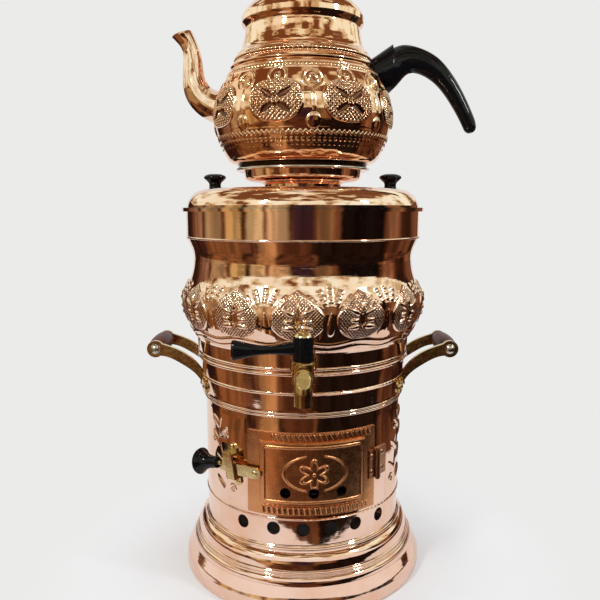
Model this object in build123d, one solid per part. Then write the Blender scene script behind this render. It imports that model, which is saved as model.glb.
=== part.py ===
from build123d import *
import os
from math import cos, degrees, radians, sin, sqrt, tan

# Charcoal samovar with its teapot on the chimney. Millimetres, z up from the floor, y towards
# the back, the tap and the door at the front. Angles run round z from the front to the right.

# fits
sheet = 1.2  # copper sheet of the body, base and lid
pot_sheet = 1.1  # copper sheet of the teapot
lift_gap = 0.4  # between pieces that lift off and what they drop into
run_gap = 0.05  # radial, in bores that turn
swing_gap = 0.3  # between faces that pass each other
over = 1.0  # by which a cut runs past what it cuts

# base
base_radius = 109.6
base_height = 74.0
hem_radius = 2.2
hem_flat = 0.3  # filed off the hem's underside, and its stand-out from the skirt
flare_low = 11.0
flare_high = 49.5
collar_radius = 89.5
base_bead = 0.9
base_bead_heights = (22.4, 28.6, 32.8, 43.5)
air_hole = 11.4
air_hole_angles = (-34.5, -15.9, 0.0, 15.1, 29.8, 47.1)  # in front, and the same at the back
air_hole_height = 64.3

# fire wall
wall_radius = 89.7
fire_height = 88.0
wall_lap = 5.0  # into the tank's sleeve
ledge_width = 7.0
spigot = 3.0
opening_margin = 2.6  # to the door's field: degrees at the sides, millimetres above and below
opening_corner = 4.0
grate_thick = 3.0
grate_bar = 6.0
grate_slot = 8.0
grate_border = 8.0
grate_gap = 0.6

# door plate over the stoking opening
door_left, door_right = -30.3, 41.6
door_low, door_high = 2.4, 73.0  # above the base
field_left, field_right = -22.8, 33.8
field_low, field_high = 11.8, 65.6
field_rise = 2.4
field_corner = 6.0
field_bevel = 1.1
door_sheet = 1.2
door_hole = 8.9
door_hole_height = 23.5
door_hole_pitch = 14.4  # degrees

# hinge
hinge_angle = 42.7
hinge_low, hinge_high = 27.5, 52.0  # above the base
hinge_pin = 2.4
pin_head = 3.6
pin_head_tall = 1.4
knuckle_radius = 2.6
knuckle_web = 1.3  # degrees
leaf_thick = 1.2
door_leaf_angle = 5.4
wall_leaf_angle = 9.6
leaf_rivet = 3.0

# sliding bolt of the door and its keeper
bolt_height = 38.0  # above the base
bolt_thick = 2.0
bolt_tall = 9.4
bolt_left, bolt_right = -48.0, -21.4
bolt_corner = 4.4
bolt_stop_angle = -24.6
bolt_stop = 3.0
bolt_tang = 4.0
bolt_tang_length = 15.0
bolt_neck = 3.0  # of the tang between strap and knob
bolt_tilt = 15.0  # of the knob, away from the wall
bolt_droop = 8.0
bolt_knob_length = 22.0
bolt_knob_radius = 11.4
keeper_angle = -39.0
keeper_tilt = 15.0
keeper_thick = 8.8
keeper_sheet = 1.8
keeper_low, keeper_high = 21.5, 57.7  # above the base, as the two lines below
keeper_bridge_low, keeper_bridge_high = 31.0, 48.5
keeper_rivet_heights = (25.4, 54.2)
keeper_wide, keeper_narrow = 10.4, 6.6

# tank
tank_height = 163.4  # from the fire wall's bead line to the rim
tank_floor_rise = 14.0
tank_floor_lip = 7.0
sleeve_low = -2.5  # these heights are above the bead line
cone_low = 4.0
cone_high = 37.0
cone_radius = 95.2
belly_foot = 51.5
belly_crown = 85.0
belly_top = 121.0
band_low = 140.5
belly_foot_radius = 96.8
belly_radius = 107.9
waist_radius = 98.5
band_radius = 104.4
rim_radius = 108.0
rim_thick = 2.6
wall_bead = 1.2
wall_bead_heights = (-1.2, 1.4)
bead = 1.6
cone_bead_height = 18.5
cone_bead_pair = (35.0, 39.2)
band_bead = 1.0
flue_radius = 33.3
flue_tail = 4.0  # under the tank's floor
flue_rise = 4.0  # above the lid

# tap
tap_height = 45.0  # above the bead line
tap_reach = 25.0  # from the wall to the plug
tap_shank = 12.0
tap_flange = 22.0
tap_flange_thick = 2.2
tap_flange_clear = 4.5  # of the flange's back from the wall
tap_hexagon = 19.0
tap_hexagon_thick = 5.0
tap_back = 20.0  # of the shank behind the flange
tap_nut_back = 6.0  # of the nut's face behind the wall
washer_back = 8.0
tap_barrel = 13.2
tap_nose = 9.6
tap_nose_length = 11.2
tap_bore = 6.5
plug_housing = 17.2
plug_top, plug_bottom = 12.0, 10.2  # diameters of the taper
plug_length = 17.0
plug_port = 5.6
plug_square = 5.2
plug_square_tall = 8.0
plug_stem = 6.0
plug_nut_wide = 10.0
plug_screw = 3.0
spout_diameter = 13.6
spout_bore = 9.0
spout_bend = 9.0
spout_drop = 21.5  # from the bore to the lip
spout_reach = 9.0  # from the plug to the bend
spout_low = 3.0  # under the bore
spout_facet = 1.8
hub_radius = 7.8
hub_height = 18.6
lever_length = 53.5

# side handles
handle_angle = 74.3
handle_rise = 8.5  # of the foot above the bead line
handle_reach = 43.5
handle_lift = 41.0
handle_thick = 4.0
handle_eye = 7.5
foot_lobe = 6.5
foot_thick = 2.6
foot_rivet = 3.2
grip_radius = 8.2
grip_bolt = 5.0

# lid
lid_rise = 16.2
lid_radius = 103.6
lid_shoulder = 86.0
lid_skirt = 11.0
lid_knob_place = 79.0
lid_knob_radius = 10.0
lid_knob_tall = 14.0

# pot stand
stand_neck = 34.8
stand_bowl = 52.0
stand_rim = 58.4
stand_height = 17.6
stand_edge = 1.4
stand_vents = 16
stand_vent = 3.2
stand_vent_circle = 41.6  # radius, under the bowl

# teapot
pot_foot = 56.8
pot_radius = 77.9
pot_neck = 49.8
pot_height = 125.6
pot_rim = 53.2
spout_hole = 17.0
spout_hole_height = 55.4
strainer_thick = 0.9
strainer_hole = 2.2
pot_lid_rise = 35.0
pot_collar_tall = 7.0
pot_screw = 4.0
pot_knob_tall = 27.6
pot_knob_radius = 11.0

# heights that follow
bead_line = base_height + fire_height
tank_top = bead_line + tank_height
rim_top = tank_top + rim_thick
lid_top = rim_top + lid_rise
pot_seat = lid_top + stand_height
pot_top = pot_seat + pot_height


def wall_plane(radius, angle, height):
    """Plane that faces out of the wall: x to the right along it, y up."""
    a = radians(angle)
    return Plane(
        origin=(radius * sin(a), -radius * cos(a), height),
        x_dir=(cos(a), sin(a), 0),
        z_dir=(sin(a), -cos(a), 0),
    )


def sector(inner, outer, low, high, left, right):
    """Piece of a ring between two radii, two heights and two angles."""
    section = Pos((inner + outer) / 2, (low + high) / 2) * Rectangle(outer - inner, high - low)
    return revolve(Rot(0, 0, left - 90) * (Plane.XZ * section), Axis.Z, right - left)


def inward(tangent):
    return Vector(-tangent.Y, tangent.X)


def inner_line(edges, wall, samples=8):
    """The line of a sheet's inner side: every edge set in by the wall, mitred at the corners."""
    corners = [edges[0] @ 0 + inward(edges[0] % 0) * wall]
    for before, after in zip(edges, edges[1:]):
        a, b = inward(before % 1), inward(after % 0)
        corners.append(after @ 0 + (a + b) * (wall / (1 + a.dot(b))))
    corners.append(edges[-1] @ 1 + inward(edges[-1] % 1) * wall)
    inner = []
    for edge, start, end in zip(edges, corners, corners[1:]):
        if edge.geom_type == GeomType.LINE:
            inner.append(Line(start, end))
        elif edge.geom_type == GeomType.CIRCLE:
            inner.append(ThreePointArc(start, edge @ 0.5 + inward(edge % 0.5) * wall, end))
        else:
            steps = [k / samples for k in range(1, samples)]
            points = [edge @ s + inward(edge % s) * wall for s in steps]
            inner.append(Spline(start, *points, end, tangents=(edge % 0, edge % 1)))
    return inner


def spun(edges, wall):
    """Sheet spun round z. Its outer line is drawn in x and y, upwards or, on a lid, inwards."""
    inner = inner_line(edges, wall)
    ends = [Line(edges[0] @ 0, inner[0] @ 0), Line(edges[-1] @ 1, inner[-1] @ 1)]
    return revolve(Plane.XZ * make_face([*edges, *inner, *ends]), Axis.Z)


def filled(edges):
    """Everything within an outer line."""
    start, end = edges[0] @ 0, edges[-1] @ 1
    corners = [end, Vector(0, end.Y), Vector(0, start.Y), start]
    closing = [Line(a, b) for a, b in zip(corners, corners[1:]) if (b - a).length > 0]
    return revolve(Plane.XZ * make_face([*edges, *closing]), Axis.Z)


def ring(radius, height, thick):
    return Pos(0, 0, height) * Torus(radius, thick)


def flat_ring(inner, outer, low, high):
    section = Pos((inner + outer) / 2, (low + high) / 2) * Rectangle(outer - inner, high - low)
    return revolve(Plane.XZ * section, Axis.Z)


def turned(edges):
    """Solid turned round z from an outline that starts and ends on the axis."""
    return revolve(Plane.XZ * make_face([*edges, Line(edges[-1] @ 1, edges[0] @ 0)]), Axis.Z)


def tube_between(low, high, radius):
    return Pos(0, 0, (low + high) / 2) * Cylinder(radius, high - low)


def along(start, direction, length, radius):
    """Round bar from a point in a direction."""
    plane = Plane(origin=start, z_dir=direction)
    return plane * Pos(0, 0, length / 2) * Cylinder(radius, length)


def rivet(plane, head_radius, head_rise, shank_radius, shank_length):
    """Domed head on a shank that goes back through what it holds."""
    dome_radius = (head_radius**2 + head_rise**2) / (2 * head_rise)
    dome = Pos(0, 0, head_rise - dome_radius) * Sphere(dome_radius)
    head = dome & (Pos(0, 0, head_rise / 2) * Cylinder(head_radius, head_rise))
    return plane * (head + Pos(0, 0, -shank_length / 2) * Cylinder(shank_radius, shank_length))


def group(pieces):
    return Compound(children=[piece for item in pieces for piece in item.solids()])


# outer lines of the spun pieces


def base_line():
    bend = FilletPolyline(
        (base_radius, hem_radius),
        (base_radius, flare_low),
        (collar_radius, flare_high),
        (collar_radius, base_height),
        radius=[8, 5],
    )
    return bend.edges()


def tank_line():
    sleeve = wall_radius + sheet
    start = (sleeve, bead_line + sleeve_low)
    cone_start = (sleeve, bead_line + cone_low)
    cone_end = (cone_radius, bead_line + cone_high)
    foot = (belly_foot_radius, bead_line + belly_foot)
    crown = (belly_radius, bead_line + belly_crown)
    waist = (waist_radius, bead_line + belly_top)
    band = (band_radius, bead_line + band_low)
    up = (0, 1)
    return [
        Line(start, cone_start),
        Line(cone_start, cone_end),
        Line(cone_end, foot),
        Spline(foot, crown, waist, tangents=((0.5, 1), up, up)),
        Spline(waist, band, tangents=(up, (0.35, 1))),
        Line(band, (band_radius, tank_top)),
    ]


def lid_line():
    return [
        Line((lid_radius, rim_top), (lid_radius, rim_top + 1.8)),
        Spline(
            (lid_radius, rim_top + 1.8),
            (lid_radius - 4.6, rim_top + 10.8),
            (lid_shoulder, lid_top),
            tangents=((-0.2, 1), (-0.8, 0.85), (-1, 0)),
        ),
        Line((lid_shoulder, lid_top), (flue_radius + lift_gap, lid_top)),
    ]


def stand_line():
    flange = pot_seat - sheet
    return [
        Line((stand_neck, lid_top), (stand_neck, lid_top + 4.2)),
        Spline(
            (stand_neck, lid_top + 4.2),
            (stand_bowl - 4.2, lid_top + 7.4),
            (stand_bowl, flange - 5.6),
            tangents=((0.6, 1), (1, 0.45), (0.12, 1)),
        ),
        Line((stand_bowl, flange - 5.6), (stand_bowl + 1, flange)),
        Line((stand_bowl + 1, flange), (stand_rim, flange)),
    ]


def pot_line():
    foot_top = pot_seat + 3.6
    crown = pot_seat + 43.5
    shoulder = pot_seat + 84.0
    neck = pot_seat + 119.0
    rim = pot_top - 1.6
    return [
        Line((0, pot_seat), (pot_foot, pot_seat)),
        Line((pot_foot, pot_seat), (pot_foot, foot_top)),
        Spline(
            (pot_foot, foot_top),
            (pot_radius - 11.2, pot_seat + 8.4),
            (pot_radius - 5.0, pot_seat + 21.0),
            (pot_radius, crown),
            (pot_neck + 13.0, shoulder),
            (pot_neck, neck),
            tangents=((1, 0.05), (0.62, 1), (0.35, 1), (0, 1), (-0.62, 1), (-0.1, 1)),
        ),
        Spline((pot_neck, neck), (pot_rim - 1, rim), tangents=((-0.1, 1), (0.8, 1))),
    ]


def pot_lid_line():
    seat = pot_top
    return [
        Line((pot_rim, seat), (pot_rim, seat + 2.2)),
        Spline(
            (pot_rim, seat + 2.2),
            (pot_rim - 8.6, seat + 14.2),
            (2.0, seat + pot_lid_rise),
            tangents=((-0.25, 1), (-0.75, 1), (-1, 0.02)),
        ),
    ]


def tank_cone_radius(height):
    """Outer radius of the tank's lower cone."""
    sleeve = wall_radius + sheet
    share = (height - bead_line - cone_low) / (cone_high - cone_low)
    return sleeve + (cone_radius - sleeve) * share


cone_bead_z = bead_line + cone_bead_height
tank_rings = [ring(wall_radius + 0.5, bead_line + h, wall_bead) for h in wall_bead_heights]
tank_rings += [ring(tank_cone_radius(cone_bead_z) - 0.5, cone_bead_z, bead)]
tank_rings += [ring(cone_radius - 0.4, bead_line + h, bead) for h in cone_bead_pair]
tank_rings += [ring(band_radius - 0.2, bead_line + band_low, band_bead)]
tank_outside = filled(tank_line()) + tank_rings
tank_inside = filled(inner_line(tank_line(), sheet)) - tank_rings


# base and fire wall


def base_skirt():
    skirt = spun(base_line(), sheet)
    skirt += ring(base_radius - hem_radius + hem_flat, hem_radius - hem_flat, hem_radius)
    slope = (base_radius - collar_radius) / (flare_high - flare_low)
    for height in base_bead_heights:
        skirt += ring(base_radius - (height - flare_low) * slope - 0.5, height, base_bead)
    skirt += ring(collar_radius - 0.1, base_height - 1.1, 1.1)
    hole = Cylinder(air_hole / 2, 8 * sheet)
    for angle in [turn + a for turn in (0, 180) for a in air_hole_angles]:
        skirt -= wall_plane(collar_radius, angle, air_hole_height) * hole
    return skirt - tube_between(-hem_radius, 0, base_radius + hem_radius)


def fire_wall():
    foot = base_height - spigot
    spigot_radius = collar_radius - sheet
    outline = Polyline(
        (spigot_radius - ledge_width, foot),
        (spigot_radius, foot),
        (spigot_radius, base_height),
        (wall_radius, base_height),
        (wall_radius, bead_line + wall_lap),
    )
    wall = spun(outline.edges(), sheet)
    left, right = field_left + opening_margin, field_right - opening_margin
    low = base_height + field_low + opening_margin
    high = base_height + field_high - opening_margin
    opening = sector(wall_radius - 2 * sheet, wall_radius + sheet, low, high, left, right)
    wall -= fillet(radial_edges(opening, sheet), opening_corner)
    return wall - rivet_holes([*hinge_wall_planes(), *keeper_rivet_planes()], leaf_rivet)


def radial_edges(piece, length):
    """The edges of a sector that run straight out from the axis."""
    edges = piece.edges().filter_by(GeomType.LINE)
    return edges.filter_by(lambda e: abs((e % 0.5).Z) < 0.01 and e.length > length)


def fire_grate():
    radius = collar_radius - 2 * sheet - grate_gap
    low = base_height - spigot + sheet
    grate = tube_between(low, low + grate_thick, radius)
    pitch = grate_bar + grate_slot
    rows = int((radius - 1.5 * grate_border) / pitch)
    for row in range(-rows, rows + 1):
        half = sqrt((radius - grate_border) ** 2 - (abs(row) * pitch + grate_slot / 2) ** 2)
        cut = SlotOverall(2 * half, grate_slot)
        grate -= Pos(0, row * pitch, low) * extrude(cut, grate_thick)
    return grate


# door, hinge and bolt

door_inner = wall_radius + swing_gap
door_outer = door_inner + door_sheet
field_outer = door_outer + field_rise
hinge_radius = door_outer + knuckle_radius - 0.4
hinge_point = wall_plane(hinge_radius, hinge_angle, 0).origin
knuckle_span = (hinge_high - hinge_low) / 3
knuckle_heights = [base_height + hinge_low + k * knuckle_span for k in range(4)]


def at_hinge(low, high, radius):
    return Pos(hinge_point.X, hinge_point.Y, 0) * tube_between(low, high, radius)


def field_block(inset, outer):
    """Raised field of the door, or its hollow when set in by the sheet."""
    turn = degrees(inset / door_outer)
    block = sector(
        door_inner - over,
        outer,
        base_height + field_low + inset,
        base_height + field_high - inset,
        field_left + turn,
        field_right - turn,
    )
    middle = base_height + (field_low + field_high) / 2
    low_edges = radial_edges(block, over).filter_by(lambda e: e.center().Z < middle)
    block = fillet(low_edges, field_corner - inset)
    front = block.faces().filter_by(GeomType.CYLINDER).sort_by(SortBy.AREA)[-1]
    return block, front


def door_plate():
    low, high = base_height + door_low, base_height + door_high
    plate = sector(door_inner, door_outer, low, high, door_left, door_right)
    _, front = field_block(0, field_outer)
    field = chamfer(front.edges(), field_bevel)
    hollow, _ = field_block(door_sheet, field_outer - door_sheet)
    plate += field & sector(door_inner, field_outer + over, low, high, door_left, door_right)
    plate -= hollow
    middle = (field_left + field_right) / 2
    for k in (-1, 0, 1):
        angle = middle + k * door_hole_pitch
        plane = wall_plane(field_outer, angle, base_height + door_hole_height)
        plate -= plane * Cylinder(door_hole / 2, 4 * field_rise)
    room = swing_gap + 0.2
    notch = at_hinge(knuckle_heights[0] - room, knuckle_heights[3] + room, knuckle_radius + room)
    return plate - notch - rivet_holes(hinge_door_planes(), leaf_rivet)


def hinge_leaf(inner, left, right, knuckles):
    """Curved leaf with the knuckles that it carries; the other leaf's knuckles clear it."""
    low, high = knuckle_heights[0], knuckle_heights[3]
    gap = swing_gap / 2
    leaf = sector(inner, inner + leaf_thick, low, high, left, right)
    for k in {0, 1, 2} - set(knuckles):
        bottom, top = knuckle_heights[k] - gap, knuckle_heights[k + 1] + gap
        leaf -= at_hinge(bottom, top, knuckle_radius + swing_gap)
    side = 1 if inner < door_inner else -1
    edge = hinge_angle + side * degrees(knuckle_radius / hinge_radius)
    web = sorted((edge, edge - side * knuckle_web))
    for k in knuckles:
        bottom = knuckle_heights[k] + (gap if k > 0 else 0)
        top = knuckle_heights[k + 1] - (gap if k < 2 else 0)
        leaf += at_hinge(bottom, top, knuckle_radius)
        leaf += sector(inner, hinge_radius, bottom, top, *web)
    return leaf


def leaf_rivet_planes(surface, angle):
    inset = (hinge_high - hinge_low) * 0.22
    heights = (knuckle_heights[0] + inset, knuckle_heights[3] - inset)
    return [wall_plane(surface, angle, height) for height in heights]


def hinge_door_planes():
    return leaf_rivet_planes(door_outer + leaf_thick, hinge_angle - door_leaf_angle * 0.68)


def hinge_wall_planes():
    return leaf_rivet_planes(wall_radius + leaf_thick, hinge_angle + wall_leaf_angle * 0.63)


def hinge_leaf_door():
    leaf = hinge_leaf(door_outer, hinge_angle - door_leaf_angle, hinge_angle, [1])
    leaf -= at_hinge(0, lid_top, hinge_pin / 2 + run_gap)
    return leaf - rivet_holes(hinge_door_planes(), leaf_rivet)


def hinge_leaf_wall():
    leaf = hinge_leaf(wall_radius, hinge_angle, hinge_angle + wall_leaf_angle, [0, 2])
    leaf -= at_hinge(0, lid_top, hinge_pin / 2)
    leaf -= tube_between(base_height, bead_line, wall_radius)
    return leaf - rivet_holes(hinge_wall_planes(), leaf_rivet)


def rivet_holes(planes, diameter):
    return [plane * Cylinder(diameter / 2, 4 * keeper_thick) for plane in planes]


def rivets(planes, diameter, length):
    """Rivets with low domed heads on the planes."""
    head = diameter * 0.8
    return group([rivet(plane, head, head * 0.42, diameter / 2, length) for plane in planes])


def hinge_pin_piece():
    low, high = knuckle_heights[0], knuckle_heights[3]
    pin = at_hinge(low - pin_head_tall, high + pin_head_tall, hinge_pin / 2)
    pin += at_hinge(low - pin_head_tall, low, pin_head / 2)
    return pin + at_hinge(high, high + pin_head_tall, pin_head / 2)


bolt_inner = field_outer + swing_gap
bolt_outer = bolt_inner + bolt_thick
bolt_z = base_height + bolt_height
bolt_stop_plane = wall_plane(bolt_outer, bolt_stop_angle, bolt_z)
keeper_face = wall_radius + keeper_thick


def knob_plane(reach):
    """Plane across the bolt's knob, a distance out from the strap's end."""
    end = wall_plane((bolt_inner + bolt_outer) / 2, bolt_left, bolt_z)
    tilt, droop = radians(bolt_tilt), radians(bolt_droop)
    level = end.z_dir * sin(tilt) - end.x_dir * cos(tilt)
    out = level * cos(droop) - Vector(0, 0, sin(droop))
    return Plane(origin=end.origin + out * reach, z_dir=out)


def bolt_strap():
    """Strap bent to the wall's round, with a tang for the knob."""
    half = bolt_tall / 2
    strap = sector(bolt_inner, bolt_outer, bolt_z - half, bolt_z + half, bolt_left, bolt_right)
    free_end = wall_plane(bolt_inner, bolt_right, bolt_z).origin.X
    ends = radial_edges(strap, bolt_thick / 2)
    strap = fillet(ends.filter_by(lambda e: abs(e.center().X - free_end) < bolt_thick), bolt_corner)
    tang = Pos(0, 0, bolt_tang_length / 2) * Cylinder(bolt_tang / 2, bolt_tang_length)
    strap += knob_plane(-over) * tang
    return strap - rivet_holes([bolt_stop_plane], bolt_stop)


def bolt_knob():
    """Flared knob on the tang."""
    length, flare = bolt_knob_length, bolt_knob_radius
    root, waist = flare * 0.42, flare * 0.47
    knob = turned(
        [
            Line((0, 0), (root, 0)),
            Spline(
                (root, 0),
                (waist, length * 0.3),
                (flare, length * 0.84),
                tangents=((0, 1), (0.1, 1), (0.9, 1)),
            ),
            Spline((flare, length * 0.84), (0, length), tangents=((-0.2, 1), (-1, 0))),
        ]
    )
    knob -= tube_between(-over, bolt_tang_length - over - bolt_neck + lift_gap, bolt_tang / 2)
    return knob_plane(bolt_neck) * knob


def bolt_keeper():
    """Strip bent over the strap: a foot at each end, two risers and a bridge."""
    low, high = base_height + keeper_low, base_height + keeper_high
    bridge_low, bridge_high = base_height + keeper_bridge_low, base_height + keeper_bridge_high
    span = (keeper_angle - keeper_wide, keeper_angle + keeper_wide)
    foot_face, bridge_inner = wall_radius + keeper_sheet, keeper_face - keeper_sheet
    strip = sector(wall_radius, keeper_face, low, high, *span)
    strip -= sector(wall_radius - over, bridge_inner, bridge_low, bridge_high, *span)
    strip -= sector(foot_face, keeper_face + over, low - over, bridge_low - keeper_sheet, *span)
    strip -= sector(foot_face, keeper_face + over, bridge_high + keeper_sheet, high + over, *span)
    wide, narrow = keeper_wide / 2, keeper_narrow / 2
    top, bottom = high - wide, low + narrow
    corners = [(-wide, top), (wide, top), (narrow, bottom), (-narrow, bottom)]
    outline = make_face(Polyline(*corners, close=True).edges())
    outline += Pos(0, top) * Circle(wide) + Pos(0, bottom) * Circle(narrow)
    middle = (low + high) / 2
    outline = Pos(0, middle) * Rot(0, 0, keeper_tilt) * Pos(0, -middle) * outline
    strip &= wall_plane(wall_radius, keeper_angle, 0) * extrude(outline, 3 * keeper_thick, both=True)
    return strip - rivet_holes(keeper_rivet_planes(), leaf_rivet)


def keeper_rivet_planes():
    planes = []
    for height in keeper_rivet_heights:
        shift = (height - (keeper_low + keeper_high) / 2) * tan(radians(keeper_tilt))
        angle = keeper_angle - degrees(shift / wall_radius)
        planes.append(wall_plane(wall_radius + keeper_sheet, angle, base_height + height))
    return planes


# tank


def tank_shell():
    shell = spun(tank_line(), sheet) + tank_rings
    shell += flat_ring(band_radius - sheet, rim_radius, tank_top - 0.6, rim_top)
    shell -= tube_between(bead_line + 2 * sleeve_low, bead_line + wall_lap, wall_radius)
    shell -= rivet_holes(foot_planes("right") + foot_planes("left"), foot_rivet)
    return shell - along((0, -40, bead_line + tap_height), (0, -1, 0), 100, tap_shank / 2)


def tank_floor():
    low = bead_line + tank_floor_rise
    floor = tube_between(low, low + sheet, band_radius) & tank_inside
    floor += tube_between(low, low + tank_floor_lip, flue_radius + sheet)
    return floor - tube_between(low - over, low + tank_floor_lip + over, flue_radius)


def fire_tube():
    low = bead_line + tank_floor_rise - flue_tail
    return flat_ring(flue_radius - sheet, flue_radius, low, lid_top + flue_rise)


# tap

tap_z = bead_line + tap_height
wall_at_tap = belly_foot_radius - 0.7
plug_y = -(wall_at_tap + tap_reach)
housing_top = tap_z + plug_length * 0.4
housing_bottom = housing_top - plug_length
tap_flange_y = -(wall_at_tap + tap_flange_clear)
spout_z = tap_z - spout_low
hub_low = housing_top + 1.0
hub_top = hub_low + hub_height


def at_plug(low, high, radius):
    return Pos(0, plug_y, 0) * tube_between(low, high, radius)


def at_plug_middle(height):
    return Pos(0, plug_y, height)


def spout_path():
    front = plug_y - spout_reach
    half = spout_bend * sin(radians(45))
    arc = ThreePointArc(
        (0, front, spout_z),
        (0, front - half, spout_z - spout_bend + half),
        (0, front - spout_bend, spout_z - spout_bend),
    )
    drop = Line(arc @ 1, (0, front - spout_bend, tap_z - spout_drop))
    return Line((0, plug_y, spout_z), arc @ 0) + arc + drop


def sweep_round(radius):
    return sweep(Plane(origin=(0, plug_y, spout_z), z_dir=(0, -1, 0)) * Circle(radius), spout_path())


def plug_cone(grow, low, high):
    """The plug's taper between two heights, grown for its seat."""
    slope = (plug_top - plug_bottom) / 2 / plug_length
    top = plug_top / 2 + grow + (high - housing_top) * slope
    bottom = plug_bottom / 2 + grow + (low - housing_bottom) * slope
    return at_plug_middle((low + high) / 2) * Cone(bottom, top, high - low)


def out_of_wall(start, length, diameter):
    """Round bar on the tap's axis, forward from a place."""
    return along((0, start, tap_z), (0, -1, 0), length, diameter / 2)


def hexagon_bar(start, length):
    plane = Plane(origin=(0, start, tap_z), z_dir=(0, -1, 0))
    return extrude(plane * RegularPolygon(tap_hexagon / 2, 6, major_radius=False), length)


def tap_body():
    body = out_of_wall(tap_flange_y + 1.6, tap_flange_thick, tap_flange)
    body += hexagon_bar(tap_flange_y - 0.5, tap_hexagon_thick)
    body += out_of_wall(tap_flange_y - 4, tap_reach - 4, tap_barrel)
    body += chamfer(at_plug(housing_bottom, housing_top, plug_housing / 2).edges(), 0.8)
    body += Pos(0, 0, over) * out_of_wall(plug_y, tap_nose_length, tap_nose)
    body += sweep_round(spout_diameter / 2)
    facet = Plane(origin=(0, plug_y - spout_reach, spout_z - spout_bend), z_dir=(0, -1, 1))
    deep = spout_bend + spout_diameter / 2 - spout_facet
    body -= facet * Pos(0, 0, deep + plug_housing / 2) * Box(40, 12, plug_housing)
    body += out_of_wall(tap_flange_y + tap_back, tap_back, tap_shank)
    bore = tap_back + over + tap_reach - tap_flange_clear
    body -= out_of_wall(tap_flange_y + tap_back + over, bore, tap_bore)
    body -= sweep_round(spout_bore / 2)
    return body - plug_cone(run_gap, housing_bottom - over, housing_top + over)


def tap_washer(back, length, diameter):
    """Washer before it is cut to the wall's curve."""
    washer = out_of_wall(back - wall_at_tap, length, diameter)
    return washer - out_of_wall(back - wall_at_tap + over, length + 2 * over, tap_shank)


def tap_washer_outer():
    length = washer_back - 1.6 + tap_flange_clear
    return tap_washer(washer_back, length, tap_flange - 1.6) - tank_outside


def tap_washer_inner():
    return tap_washer(tap_nut_back, tap_back, tap_flange - 3) & tank_inside


def tap_nut():
    back = tap_nut_back + tap_hexagon_thick - wall_at_tap
    return hexagon_bar(back, tap_hexagon_thick) - out_of_wall(back + over, tap_back, tap_shank)


def tap_plug():
    plug = plug_cone(0, housing_bottom, housing_top)
    plug += at_plug(housing_top, hub_low, plug_housing / 2 - 1)
    plug += at_plug_middle(hub_low + plug_square_tall / 2) * Box(plug_square, plug_square, plug_square_tall)
    plug += at_plug(housing_bottom - plug_stem, housing_bottom, plug_stem / 2)
    plug -= along((-plug_top, plug_y, tap_z), (1, 0, 0), 2 * plug_top, plug_port / 2)
    return plug - at_plug(hub_low + 2, hub_top, plug_screw / 2)


def plug_nut():
    washer = at_plug(housing_bottom - 1.2, housing_bottom - 0.1, 7.0)
    hexagon = RegularPolygon(plug_nut_wide / 2, 6, major_radius=False)
    nut = at_plug_middle(housing_bottom - 4.6) * extrude(hexagon, 3.4)
    return washer + nut - at_plug(housing_bottom - plug_nut_wide, housing_bottom, plug_stem / 2)


def tap_lever():
    """Hub on the plug's square and a lever that thins to a waist and flares to its end."""
    hub = chamfer(at_plug(hub_low, hub_top, hub_radius).edges(), 0.7)
    middle = hub_low + hub_height * 0.47
    # share of the length, height, depth, place above the middle
    stations = (
        (0.06, 11.0, 9.0, 0.6),
        (0.23, 9.4, 8.4, 0.3),
        (0.54, 7.2, 7.4, -0.6),
        (0.77, 10.8, 9.0, -0.8),
        (0.96, 15.6, 11.0, -0.9),
    )
    planes = [
        Plane(origin=(-share * lever_length, plug_y, middle + rise), x_dir=(0, 1, 0), z_dir=(-1, 0, 0))
        for share, _, _, rise in stations
    ]
    sections = [(plane, station[1], station[2]) for plane, station in zip(planes, stations)]
    lever = loft([plane * Ellipse(deep / 2, tall / 2) for plane, tall, deep in sections])
    _, tall, deep, _ = stations[-1]
    rounding = ((0, 0), (0.7, 0.3), (1, 1.4))  # share of what is left of the length, step in
    tip = lever_length * (1 - stations[-1][0])
    end = [planes[-1] * Pos(0, 0, s * tip) * Ellipse(deep / 2 - i, tall / 2 - i) for s, i in rounding]
    piece = hub + lever + loft(end, ruled=True)
    piece -= at_plug_middle(hub_low + plug_square_tall / 2) * Box(plug_square, plug_square, plug_square_tall)
    return piece - at_plug(hub_low, hub_top + over, plug_screw / 2)


def tap_cap():
    """Domed screw that holds the lever on the plug."""
    return rivet(Plane(origin=(0, plug_y, hub_top)), hub_radius - 0.7, 4.6, plug_screw / 2, hub_height - 2)


# side handles


def handle_foot_point():
    """Where the front right arm meets the wall, seen from above."""
    radius = tank_cone_radius(bead_line + handle_rise)
    a = radians(handle_angle)
    return Vector(radius * sin(a), -radius * cos(a))


arm_y = -handle_foot_point().Y
arm_x = handle_foot_point().X
eye_x = arm_x + handle_reach
eye_z = bead_line + handle_lift


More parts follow.
